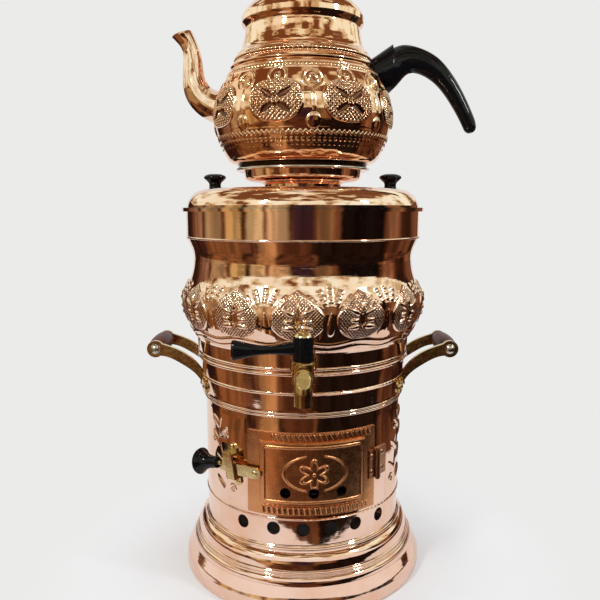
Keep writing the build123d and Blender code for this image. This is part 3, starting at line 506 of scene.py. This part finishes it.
# mesh over a grid of points; faces whose corners are all in a gap are left out
def sheetObject(name, points, wraps, material, body, gap, dark):
    rows, columns = points.shape[:2]
    grid = np.arange(rows * columns).reshape(rows, columns)
    right = np.roll(grid, -1, axis=1)
    span = slice(None) if wraps else slice(None, -1)
    a, b = grid[:-1, span], right[:-1, span]
    c, d = right[1:, span], grid[1:, span]
    faces = np.stack([a, b, c, d], axis=-1).reshape(-1, 4)
    faces = faces[~gap.reshape(-1)[faces].all(axis=1)]
    tarnished = dark.reshape(-1)[faces].mean(axis=1) > 0.5
    mesh = bpy.data.meshes.new(name)
    mesh.from_pydata((points.reshape(-1, 3) * mm).tolist(), [], faces.tolist())
    mesh.polygons.foreach_set("use_smooth", np.ones(len(faces), bool))
    mesh.materials.append(material)
    if tarnished.any():
        mesh.materials.append(copperPatina)
        mesh.polygons.foreach_set("material_index", tarnished.astype(np.int32))
    obj = newObject(name, mesh)
    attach(obj, body)


# a sheet's distance from its node at the rim, its usual one, and the rows it takes to get there
sheet = {"rim": 0.05, "lift": 0.12, "rimRows": 5}


# 0 at both ends of a row of points, 1 inside
def fromRim(count):
    steps = np.arange(count)
    return np.clip(np.minimum(steps, steps[::-1]) / sheet["rimRows"], 0, 1)


# sheet laid on a round node; relief gives millimetres for angle, height and radius, and tarnish
# says which places are dark
def skin(name, body, radius, z, angles, relief, material, lift=sheet["lift"], holes=(), tarnish=None):
    wraps = abs(angles[-1] - angles[0]) > 359
    angles = angles[:-1] if wraps else angles
    angle, height = np.meshgrid(angles, z)
    base = np.repeat(radius[:, None], len(angles), axis=1)
    gap = np.zeros(angle.shape, bool)
    for holeAngle, holeHeight, holeRadius in holes:
        u, v = np.radians(angle - holeAngle) * base, height - holeHeight
        reach = np.hypot(u, v)
        inside = reach < holeRadius
        push = np.where(inside, holeRadius / np.maximum(reach, 0.01), 1)
        angle = holeAngle + np.degrees(u * push / base)
        height = holeHeight + v * push
        gap = gap | inside
    edge = fromRim(len(z))[:, None]
    if not wraps:
        edge = edge * fromRim(len(angles))[None, :]
    raised = sheet["rim"] + (lift - sheet["rim"] + relief(angle, height, base)) * edge
    slope = np.gradient(radius, z)[:, None]
    length = np.sqrt(1 + slope**2)
    out, up = raised / length, -raised * slope / length
    a = np.radians(angle)
    points = np.stack([(base + out) * np.sin(a), -(base + out) * np.cos(a), height + up], axis=-1)
    dark = tarnish(angle, height, base) if tarnish else np.zeros(angle.shape, bool)
    sheetObject(name, points, wraps, material, body, gap, dark)


# fine crossed grooves that leave rows of small points
def knurl(u, v, pitch):
    return np.abs(np.cos(math.pi * (u + v) / pitch) * np.cos(math.pi * (u - v) / pitch))


# chased belly of the tank: pointed shields with a flower on a field of points, between them a
# fan above and a drop on a fold below, and two wavy ridges under all
tankBelly = {
    "low": 213.8,
    "high": 283.0,
    "rows": 175,
    "columns": 1641,
    "middle": 247.0,
    "shields": 13,
    "first": -2.3,
    "halfWide": 21.4,
    "shoulder": -3,  # height of a shield's widest line, from its middle
    "above": 21.0,
    "below": 17.5,
    # across, up, turn, length
    "petals": ((8.0, 1.9, 27, 12), (7.4, -5.4, 8, 7.5), (7.4, -10.6, -4, 10.5)),
    "petalWide": 5.6,
    "petalRise": 1.8,
    "ground": 0.8,
    "pointPitch": 2.7,
    "pointRise": 0.6,
    "tarnish": 0.32,  # points lower than this are dark
}


def tankShield(angle, z, radius):
    belly = tankBelly
    u = np.radians(around(angle, belly["first"], belly["shields"])) * radius
    v = z - belly["middle"]
    over = v - belly["shoulder"]
    top = belly["halfWide"] * (1 - np.clip(over / belly["above"], 0, 1) ** 1.45)
    low = belly["halfWide"] * np.sqrt(1 - np.clip(-over / belly["below"], 0, 1) ** 2.2)
    half = np.where(over > 0, top, low)
    inside = rise(-0.5, 0.7, half - np.abs(u)) * rise(-20.6, -19.6, v) * rise(18.5, 17.5, v)
    flower = np.zeros_like(u)
    for x, y, lean, length in belly["petals"]:
        for side in (u, -u):
            flower = np.maximum(flower, petal(side, v, x, y, lean, length, belly["petalWide"]))
    flower = np.maximum(flower, petal(v, u, 5.4, 0, 0, 8.5, 3.8))
    heart = rise(3.6, 1.8, np.hypot(u, (v + 5.0) * 0.6))
    plain = np.clip(1 - flower * 2.5, 0, 1) * (1 - heart) * rise(0.4, 2.0, half - np.abs(u))
    return v, inside, flower, heart, plain, knurl(u, v, belly["pointPitch"])


def tankRelief(angle, z, radius):
    shields, first, ground = tankBelly["shields"], tankBelly["first"], tankBelly["ground"]
    v, inside, flower, heart, plain, points = tankShield(angle, z, radius)
    chased = tankBelly["pointRise"] * points * plain + tankBelly["petalRise"] * flower
    shield = inside * (ground - ground * heart + chased)
    w = np.radians(around(angle, first + 180 / shields, shields)) * radius
    over = v - tankBelly["shoulder"]
    reach, turn = np.hypot(w, over), np.arctan2(over, w)
    fan = bead(around(np.degrees(turn), 90, 15) * reach * math.radians(1), 3.6 + 0.06 * reach)
    fan = fan * rise(6, 10, reach) * rise(25, 20, reach) * rise(4, 8, v)
    fan = fan * (0.55 + 0.25 * np.cos(reach * 1.5))
    drop = 0.8 * petal(v, w, -8.0, 0, 0, 19, 8.0)
    fold = 0.5 * bead(w, 17) * rise(-22, -15, v) * rise(-6, -11, v)
    wave = -23.6 + 1.5 * np.cos(np.radians(angle - first) * shields)
    ridge = 0.9 * bead(v - wave, 3.6) + 0.35 * bead(v - wave + 5.0, 2.4)
    between = (1 - inside) * (fan + drop + fold)
    return np.maximum(shield + between + ridge, 0) + handwork(angle, z, 3, 0.12) + 0.12


def tankTarnish(angle, z, radius):
    _, inside, _, _, plain, points = tankShield(angle, z, radius)
    return inside * plain * (points < tankBelly["tarnish"]) > 0.5


def tankSkin():
    radius, z = outerLine("tank_shell", tankBelly["low"], tankBelly["high"], tankBelly["rows"])
    angles = np.linspace(0, 360, tankBelly["columns"])
    skin("tankBelly", "samovar", radius, z, angles, tankRelief, copperTank, tarnish=tankTarnish)


# chased belly of the teapot: oval panels of raised points, each with a sunk four-armed star,
# a boss, a stem and arches between them, beaded rings above and a zigzag below
potBelly = {
    "low": 372.5,
    "high": 485.5,
    "rows": 250,
    "columns": 1201,
    "middle": 410.6,
    "panels": 8,
    "first": 28.7,
    "halfWide": 22.0,
    "halfTall": 16.0,
    "ground": 0.9,
    "pointPitch": 3.6,
    "pointRise": 1.0,
    "armAt": (7.6, 5.8, 36),  # across, up, turn
    "armSize": (12.5, 6.2),
    "tarnish": 0.26,  # points lower than this are dark
    "tarnishStar": 0.25,
    "teeth": 104,
    # count, first, bead width, height over the middle, bead height, distance and height of its lines
    "rings": ((132, 0, 2.6, 29.5, 2.4, 2.3, 0.5), (96, 1, 3.4, 42.0, 4.2, 3.2, 0.4)),
}


def potPanel(angle, z, radius):
    u = np.radians(around(angle, potBelly["first"], potBelly["panels"])) * radius
    v = z - potBelly["middle"]
    oval = (np.abs(u) / potBelly["halfWide"]) ** 2.4 + (np.abs(v - 0.5) / potBelly["halfTall"]) ** 2.4
    star = np.zeros_like(u)
    for x, y in ((-1, -1), (-1, 1), (1, -1), (1, 1)):
        star = np.maximum(star, petal(x * u, y * v, *potBelly["armAt"], *potBelly["armSize"]))
    for side in (v, -v):
        star = np.maximum(star, petal(side, u, 4.6, 0, 0, 5, 3.8))
    plain = np.clip(1 - star * 2.5, 0, 1) * rise(0.97, 0.85, oval)
    return u, v, oval, star, plain, knurl(u, v, potBelly["pointPitch"])


def potRelief(angle, z, radius):
    panels, first = potBelly["panels"], potBelly["first"]
    u, v, oval, star, plain, points = potPanel(angle, z, radius)
    inside = rise(1.02, 0.94, oval)
    rim = 0.5 * bead((oval - 1.0) * 8.5, 1.8)
    ground = potBelly["ground"]
    panel = inside * (ground + potBelly["pointRise"] * points * plain - ground * star)
    w = np.radians(around(angle, first + 180 / panels, panels)) * radius
    boss = 1.3 * np.sqrt(np.clip(1 - (w**2 + (v + 15.5) ** 2) / 6.0**2, 0, 1))
    stem = 0.7 * petal(v, w, 1, 0, 0, 20, 4.2)
    reach = np.hypot(w, v - 16.5)
    arch = (0.8 * bead(reach - 8.0, 2.0) + 0.8 * bead(reach - 3.6, 1.7)) * rise(-7, -3, v - 17)
    reach = np.hypot(u, v - 20.0)
    arch = arch + (0.8 * bead(reach - 7.0, 2.0) + 0.9 * bead(reach, 5.0)) * rise(-2, 0, v - 19)
    total = panel + rim + (1 - inside) * (boss + stem + arch)
    step = radius * np.radians(1)
    for count, start, wide, height, tall, off, line in potBelly["rings"]:
        total = total + 0.7 * bead(around(angle, start, count) * step, wide) * bead(v - height, tall)
        total = total + line * (bead(v - height - off, 1.5) + bead(v - height + off, 1.5))
    tooth = around(angle, 0, potBelly["teeth"]) * step
    zigzag = 0.6 * bead((v + 24.8 - np.abs(tooth)) * 0.7, 1.6)
    zigzag = zigzag + 0.35 * bead((v + 32.8 + np.abs(tooth)) * 0.7, 1.6)
    total = total + zigzag + 0.35 * bead(tooth, 2.8) * bead(v + 28.8, 2.6)
    return np.maximum(total, 0) + handwork(angle, z, 5) + 0.1


def potTarnish(angle, z, radius):
    _, _, oval, star, plain, points = potPanel(angle, z, radius)
    deep = plain * (points < potBelly["tarnish"]) > 0.5
    return (oval < 0.95) & ((star > potBelly["tarnishStar"]) | deep)


def potSkin():
    radius, z = outerLine("pot_shell", potBelly["low"], potBelly["high"], potBelly["rows"])
    angles = np.linspace(0, 360, potBelly["columns"])
    skin("potBelly", "teapot", radius, z, angles, potRelief, copperPot, tarnish=potTarnish)


# leaf sprays pressed into the fire wall at both sides of the door
leafSpray = {
    "low": 77.5,
    "high": 156.5,
    "left": (-68.0, -31.6),
    "right": (53.6, 84.0),
    "rows": 170,
    "columnsPerDegree": 4.4,
    "middle": 116,
    "sway": (5.0, 0.08),  # how far the stem swings, and how fast with height
    "lean": 40,
    "leafWide": 8.4,
    # height of the root, way it points, length
    "leaves": (
        (-30, 1, 17),
        (-21, -1, 18),
        (-12, 1, 19),
        (-2, -1, 18),
        (8, 1, 18),
        (17, -1, 16),
        (25, 1, 14),
    ),
    "berries": ((-25, -1), (-8, 1), (3, -1), (21, -1), (13, 1)),
    "berryAway": 9,
}
# stays flat under the bolt's keeper, fading out between each pair of distances
keeperSeat = {"angle": -39.0, "height": 113.6, "lean": 15.0, "wide": (8.5, 6.0), "tall": (21.5, 19.0)}


def stemAt(v):
    swing, speed = leafSpray["sway"]
    return swing * np.sin(v * speed)


def sprayRelief(u, v):
    total = 0.7 * bead(u - stemAt(v), 2.0) * rise(36, 33, np.abs(v))
    lean = math.radians(leafSpray["lean"])
    for root, way, length in leafSpray["leaves"]:
        x = stemAt(root) + way * length / 2 * math.cos(lean)
        y = root + length / 2 * math.sin(lean)
        along = (u - x) * way * math.cos(lean) + (v - y) * math.sin(lean)
        across = (v - y) * math.cos(lean) - (u - x) * way * math.sin(lean)
        blade = petal(along, across, 0, 0, 0, length, leafSpray["leafWide"])
        veins = 0.3 * np.abs(np.sin((along - np.abs(across) * 1.1) * 1.7)) + 0.4 * bead(across, 1.4)
        total = np.maximum(total, blade * (1.0 + veins))
    for root, way in leafSpray["berries"]:
        reach = np.hypot(u - stemAt(root) - way * leafSpray["berryAway"], v - root)
        total = np.maximum(total, 0.7 * bead(reach - 3.2, 1.7) + 0.9 * bead(reach, 3.0))
    return total


def seatShare(angle, height, base):
    up = height - keeperSeat["height"]
    tilt = up * math.tan(math.radians(keeperSeat["lean"]))
    across = np.radians(angle - keeperSeat["angle"]) * base + tilt
    return rise(*keeperSeat["wide"], np.abs(across)) * rise(*keeperSeat["tall"], np.abs(up))


def spraySkin(side):
    left, right = leafSpray[side]
    middle, way = (left + right) / 2, 1 if side == "right" else -1
    z = np.linspace(leafSpray["low"], leafSpray["high"], leafSpray["rows"])
    wall = np.full_like(z, doorWall)

    def relief(angle, height, base):
        u, v = np.radians(angle - middle) * base * way, height - leafSpray["middle"]
        return sprayRelief(u, v) * (1 - seatShare(angle, height, base))

    angles = np.linspace(left, right, int((right - left) * leafSpray["columnsPerDegree"]) + 1)
    skin(f"leafSpray_{side}", "samovar", wall, z, angles, relief, copperFire)


# pressed work of the door: ribs along the edges, a flower in an oval on the raised field
doorArt = {
    "lift": 0.08,
    "flower": (5.7, 113.4),  # angle, height
    "lobes": (5.4, 6.6),  # radius between the petals, and how much further they reach
    "oval": (6.3, 114.3, 26.0, 15.2),  # angle, height, half its width, half its height
    "field": (-21.4, 32.4, 87.4, 138.4),  # left, right, low, high
    "fieldGrid": (200, 330),
    "corner": 5,
    # angle, height, radius
    "holes": ((-8.9, 97.5, 4.45), (5.5, 97.5, 4.45), (19.9, 97.5, 4.45)),
    "ribPitch": 2.85,
    "ribGrid": (44, 420),
    # name, low, high, left, right, lean
    "ribs": (
        ("doorRibsTop", 140.3, 146.7, -16.4, 38.4, -26),
        ("doorRibsLow", 77.6, 84.4, -22.0, 37.0, -10),
    ),
}


def fieldRelief(angle, z, radius):
    u = np.radians(angle - doorArt["flower"][0]) * radius
    v = z - doorArt["flower"][1]
    r, a = np.hypot(u, v), np.arctan2(v, u)
    core, tip = doorArt["lobes"]
    lobes = core + tip * np.abs(np.cos(3 * (a - math.pi / 2))) ** 1.5
    flower = 0.9 * bead((r - lobes) * 0.62, 1.9) + 0.3 * rise(0, -3, r - lobes) + 0.7 * bead(r, 3.0)
    middle, height, halfWide, halfTall = doorArt["oval"]
    p, q = np.radians(angle - middle) * radius / halfWide, (z - height) / halfTall
    sides = 0.5 * bead((np.hypot(p, q) - 1) * 17, 1.5) * rise(0.2, 0.4, np.abs(p))
    left, right, low, high = doorArt["field"]
    x = np.minimum(angle - left, right - angle) * radius * math.radians(1)
    y = np.minimum(z - low, high - z)
    corner = doorArt["corner"]
    rounded = corner - np.hypot(corner - x, corner - y)
    inset = np.where((x < corner) & (y < corner), rounded, np.minimum(x, y))
    frameLine = 0.55 * bead(inset - 2.4, 2.2)
    return flower + sides + frameLine + handwork(angle * 3, z, 9, 0.09)


def ribRelief(lean):
    def relief(angle, z, radius):
        pitch = doorArt["ribPitch"]
        shifted = angle - np.degrees((z - z.mean()) * math.tan(math.radians(lean)) / radius)
        away = (shifted % pitch - pitch / 2) * radius * math.radians(1)
        return 1.1 * bead(away, pitch * radius * math.radians(0.72))

    return relief


def doorSkins():
    left, right, low, high = doorArt["field"]
    rows, columns = doorArt["fieldGrid"]
    z = np.linspace(low, high, rows)
    angles = np.linspace(left, right, columns)
    field = np.full_like(z, doorField)
    skin("doorField", "door", field, z, angles, fieldRelief, copperDoor, doorArt["lift"], doorArt["holes"])
    rows, columns = doorArt["ribGrid"]
    for name, low, high, left, right, lean in doorArt["ribs"]:
        z = np.linspace(low, high, rows)
        angles = np.linspace(left, right, columns)
        plate = np.full_like(z, doorPlate)
        skin(name, "door", plate, z, angles, ribRelief(lean), copperDoor, doorArt["lift"])


# spun steps of the foot from the top: a thin cord, a round cushion, two cords, a lower cushion,
# then the plain flare
foot = {
    "low": 4.0,
    "high": 50.0,
    "cushions": ((33.0, 45.0, 1.8), (22.2, 28.4, 0.9)),  # low, high, how far out
    # middle, width, how far out
    "cords": ((31.4, 2.4, 0.9), (29.3, 1.6, 0.6), (47.4, 2.0, 0.5)),
    "flare": ((11, 49), (109.5, 89.8)),  # heights and radii of the straight flare under them
    "widest": 109.6,
    "thickness": 0.42,
    "fade": (10, 15),
    "rows": 240,
    "columns": 721,
}


def footRelief(angle, z, radius):
    total = foot["thickness"] + handwork(angle, z, 11, 0.05)
    for low, high, height in foot["cushions"]:
        t = np.clip((high - z) / (high - low), 0, 1)
        total = total + height * np.sin(np.pi * t**0.75)
    for middle, width, height in foot["cords"]:
        total = total + height * bead(z - middle, width)
    return total * rise(*foot["fade"], z)


def footSkin():
    radius, z = outerLine("base_skirt", foot["low"], foot["high"], foot["rows"])
    heights, radii = foot["flare"]
    flare = (z > heights[0]) & (z < heights[1])
    radius[flare] = np.interp(z[flare], heights, radii)
    radius = np.minimum(radius, foot["widest"])
    angles = np.linspace(0, 360, foot["columns"])
    skin("foot", "samovar", radius, z, angles, footRelief, copperBody)


# the same form as a CAD node, shaded smooth except over its ribs
def smoothPiece(node, body, rib):
    source = nodes[node].data
    work = bmesh.new()
    work.from_mesh(source)
    bmesh.ops.remove_doubles(work, verts=work.verts, dist=0.005 * mm)
    for face in work.faces:
        face.smooth = True
    for edge in work.edges:
        # an edge without two faces counts as sharp
        edge.smooth = edge.calc_face_angle(math.pi) < math.radians(rib)
    mesh = bpy.data.meshes.new(f"{node}Smooth")
    work.to_mesh(mesh)
    work.free()
    # stored normals would keep the facets
    for name in [a.name for a in mesh.attributes if "normal" in a.name]:
        mesh.attributes.remove(mesh.attributes[name])
    mesh.materials.clear()
    mesh.materials.append(source.materials[0])
    obj = newObject(f"{node}Smooth", mesh)
    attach(obj, body)
    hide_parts(node)


# a node's largest radius between two heights
def reachOf(node, low, high):
    points = np.array([v.co for v in nodes[node].data.vertices]) / mm
    points = points[(points[:, 2] > low) & (points[:, 2] < high)]
    return float(np.hypot(points[:, 0], points[:, 1]).max())


doorWall = reachOf("fire_wall", 100, 158)
doorField = reachOf("door_plate", 90, 138)
doorPlate = reachOf("door_plate", 146.5, 147.2)
print("door radii", doorWall, doorPlate, doorField)
footSkin()
tankSkin()
potSkin()
spraySkin("left")
spraySkin("right")
doorSkins()
smoothPiece("pot_spout", "teapot", 60)
print("chased sheets laid on")


# white sweep, and glowing sheets of a dim room in front that only the copper mirrors: painted reflections
studio = {
    "white": (0.83, 0.83, 0.82, 1),
    "floor": (0.90, 0.93, 0.97, 1),
    "ambient": 0.60,
    "floorRadius": 6,
    "shadowFade": (0.10, 0.27),  # where the floor's own shade passes into the white
    "roomDistance": 1.5,
    "roomHeight": 0.58,
    "roomSweep": 148,  # degrees to each side of the front; the back stays open
    "roomSteps": 75,
    "table": (0.34, 0.18),  # half its width, distance of its front edge
    "tableTurn": 16,
    "roomGap": (0.03, 0.012, 0.007, 1),
    "roomGapLit": (0.17, 0.07, 0.03, 1),
    "bandEdge": 2.5,
    "bandDim": 0.5,
    "streak": (0.09, 1.6, 4.5),  # how fast the streaks change round, up and away
}
roomAngles = np.radians(np.linspace(-studio["roomSweep"], studio["roomSweep"], studio["roomSteps"]))
justOverFloor = 0.002
# azimuth from, to (degrees, 0 in front, to the right), colour that part of the room glows in reflections
wallBands = (
    (-148, -128, (0.05, 0.02, 0.012, 1)),
    (-122, -108, (0.40, 0.22, 0.13, 1)),
    (-104, -80, (0.50, 0.36, 0.19, 1)),
    (-75, -58, (0.66, 0.48, 0.20, 1)),
    (-52, -36, (0.85, 0.68, 0.36, 1)),
    (-32, -13, (0.80, 0.58, 0.32, 1)),
    (-9, 9, (0.05, 0.022, 0.030, 1)),
    (13, 28, (0.30, 0.17, 0.075, 1)),
    (34, 80, (0.010, 0.006, 0.005, 1)),
    (86, 100, (0.40, 0.20, 0.10, 1)),
    (104, 124, (0.05, 0.02, 0.01, 1)),
    (130, 140, (0.30, 0.13, 0.07, 1)),
)
floorBands = (
    (-150, -112, (0.05, 0.018, 0.012, 1)),
    (-104, -62, (0.29, 0.125, 0.045, 1)),
    (-44, -26, (0.58, 0.32, 0.13, 1)),
    (-20, 8, (0.12, 0.045, 0.02, 1)),
    (14, 88, (0.018, 0.010, 0.007, 1)),
    (94, 112, (0.11, 0.042, 0.022, 1)),
)


def hideFromAllButMirrors(obj):
    obj.visible_camera = False
    obj.visible_diffuse = False
    obj.visible_shadow = False


# glowing bands and streaks that only mirrors see: painted reflections
def roomShader(name, bands):
    material, s = newMaterial(name)
    x, y, z = s.parts(s.place())
    azimuth = x.math("ARCTAN2", y * -1) * (180 / math.pi)
    reach = (x * x + y * y).math("SQRT")
    turn, up, away = studio["streak"]
    streakAt = s.join(azimuth * turn, z * up + reach * away, 0)
    streak = s.noise(1.0, 2, at=streakAt).ramp(0.36, 0.62)
    color = s.blendColors(streak, studio["roomGap"], studio["roomGapLit"])
    for low, high, bandColor in bands:
        dim = tuple(studio["bandDim"] * c for c in bandColor[:3]) + (1,)
        lit = s.blendColors(streak, dim, bandColor)
        color = s.blendColors(azimuth.between(low, high, studio["bandEdge"]), color, lit)
    s.output(s.emit(color))
    return material


def addSheet(name, grid, material):
    rows, columns = len(grid), len(grid[0])
    verts = [tuple(p) for row in grid for p in row]
    faces = [
        (r * columns + c, r * columns + c + 1, (r + 1) * columns + c + 1, (r + 1) * columns + c)
        for r in range(rows - 1)
        for c in range(columns - 1)
    ]
    mesh = bpy.data.meshes.new(name)
    mesh.from_pydata(verts, [], faces)
    mesh.materials.append(material)
    hideFromAllButMirrors(newObject(name, mesh))


def addRoom():
    far, tall = studio["roomDistance"], studio["roomHeight"]
    halfTable, tableFront = studio["table"]
    sides = np.stack([np.sin(roomAngles), -np.cos(roomAngles)], axis=-1)
    wall = [[(*(side * far), z) for side in sides] for z in (justOverFloor, tall / 2, tall)]
    addSheet("roomWall", wall, roomShader("roomWall", wallBands))
    # the dark floor of the room begins at the edge of the white table
    turned = roomAngles - math.radians(studio["tableTurn"])
    front = tableFront / np.maximum(np.cos(turned), 1e-3)
    near = np.minimum(front, halfTable / np.maximum(np.abs(np.sin(turned)), 1e-3))
    floor = []
    for t in (0, 0.5, 1):
        floor.append([(*(side * (n + (far - n) * t)), justOverFloor) for side, n in zip(sides, near)])
    addSheet("roomFloor", floor, roomShader("roomFloor", floorBands))


# glowing upper room in broken patches, and a pale glowing sheet over the table that only the foot looks up
# to; both seen only in mirrors: painted highlights and reflections
glow = {
    "gap": (0.20, 0.085, 0.035, 1),
    "gold": (0.70, 0.62, 0.38, 1),
    "cream": (1.02, 1.20, 1.06, 1),
    "card": (0.92, 0.93, 0.93, 1),
    "gapEdge": (0.44, 0.51),
    "creamEdge": (0.51, 0.62),
    "patchScale": 2.6,
    "wallTop": 1.0,
    "rings": ((1.2, 1.5), (0.7, 1.8), (0.01, 1.9)),  # radius and height over the lit wall
    # heights it fades between, and how much brighter
    "brighterBelow": (1.25, 1.5, 0.15),
    "brighterAbove": (1.78, 1.87, 0.10),
    "darken": 0.08,
    "cardNear": 0.27,
    "cardFar": (1.4, 0.62),  # at the sides, in front
    "cardHeights": (0.05, 0.19),
}


# painted highlights: cream and gold patches that glow, seen only in the copper
def addCeiling():
    far, tall = studio["roomDistance"], studio["roomHeight"]
    material, s = newMaterial("ceiling")
    height = s.parts(s.place())[2]
    low, high, share = glow["brighterBelow"]
    patches = s.noise(glow["patchScale"], 6) + share * (1 - height.ramp(low, high))
    low, high, share = glow["brighterAbove"]
    patches = patches + share * height.ramp(low, high) - glow["darken"]
    color = s.blendColors(patches.ramp(*glow["gapEdge"]), glow["gap"], glow["gold"])
    color = s.blendColors(patches.ramp(*glow["creamEdge"]), color, glow["cream"])
    s.output(s.emit(color))
    rings = ((far, tall), (far, glow["wallTop"]), *glow["rings"])
    grid = [[(r * math.sin(a), -r * math.cos(a), z) for a in roomAngles] for r, z in rings]
    addSheet("ceiling", grid, material)


# painted reflection: a pale sheet that glows, seen only in mirrors
def addCard():
    material, s = newMaterial("card")
    backFace = s.add("ShaderNodeNewGeometry", output=6)
    clear = s.add("ShaderNodeBsdfTransparent")
    s.output(s.mix(backFace, clear, s.emit(glow["card"])))
    side, front = glow["cardHeights"]
    sideFar, frontFar = glow["cardFar"]
    grid = []
    for a in roomAngles:
        ahead = max(math.cos(a), 0) ** 2
        height = side + (front - side) * ahead
        far = sideFar + (frontFar - sideFar) * ahead
        grid.append([(r * math.sin(a), -r * math.cos(a), height) for r in (glow["cardNear"], far)])
    addSheet("card", grid, material)


def addWorld():
    world = bpy.data.worlds.new("studio")
    bpy.context.scene.world = world
    s = Shader(world)
    light = s.add("ShaderNodeBackground", None, {"Color": (1, 1, 1, 1), "Strength": studio["ambient"]})
    white = s.add("ShaderNodeBackground", None, {"Color": studio["white"], "Strength": 1.0})
    s.add("ShaderNodeOutputWorld", None, {"Surface": s.mix(s.seenSharply(), light, white)})


def addFloor():
    bpy.ops.mesh.primitive_circle_add(vertices=96, radius=studio["floorRadius"], fill_type="NGON")
    floor = bpy.context.object
    floor.name = "floor"
    material, s = newMaterial("floor")
    x, y, _ = s.parts(s.place())
    away = (x * x + y * y).math("SQRT").ramp(*studio["shadowFade"])
    lit = s.add("ShaderNodeBsdfDiffuse", None, {"Color": studio["floor"]})
    s.output(s.mix(s.seenSharply() * away, lit, s.emit(studio["white"])))
    floor.data.materials.append(material)


# area lamps: metres and watts; an unmirrored one doesn't show in the copper
lamps = {
    "keyLamp": {
        "place": (-0.62, -0.75, 0.98),
        "target": (0, 0, 0.28),
        "size": (0.09, 0.22),
        "power": 4.2,
        "color": (1.0, 0.96, 0.88),
    },
    "fillLamp": {
        "place": (0.85, -0.45, 0.85),
        "target": (0, 0, 0.28),
        "size": (0.08, 0.18),
        "power": 2.2,
    },
    "topLamp": {
        "place": (0.0, 0.1, 1.35),
        "target": (0, 0, 0.2),
        "size": (0.7, 0.5),
        "power": 4.4,
        "mirrored": False,
    },
}


def addLamp(name, place, target, size, power, color=(1, 1, 1), mirrored=True):
    data = bpy.data.lights.new(name, "AREA")
    data.shape = "RECTANGLE"
    data.size, data.size_y = size
    data.energy = power
    data.color = color
    lamp = newObject(name, data)
    lamp.location = place
    lamp.rotation_euler = (Vector(target) - Vector(place)).to_track_quat("-Z", "Y").to_euler()
    lamp.visible_glossy = mirrored


addWorld()
addFloor()
addRoom()
addCeiling()
addCard()
for lampName, values in lamps.items():
    addLamp(lampName, **values)
print("studio ready")

bpy.context.scene.view_settings.view_transform = "Standard"
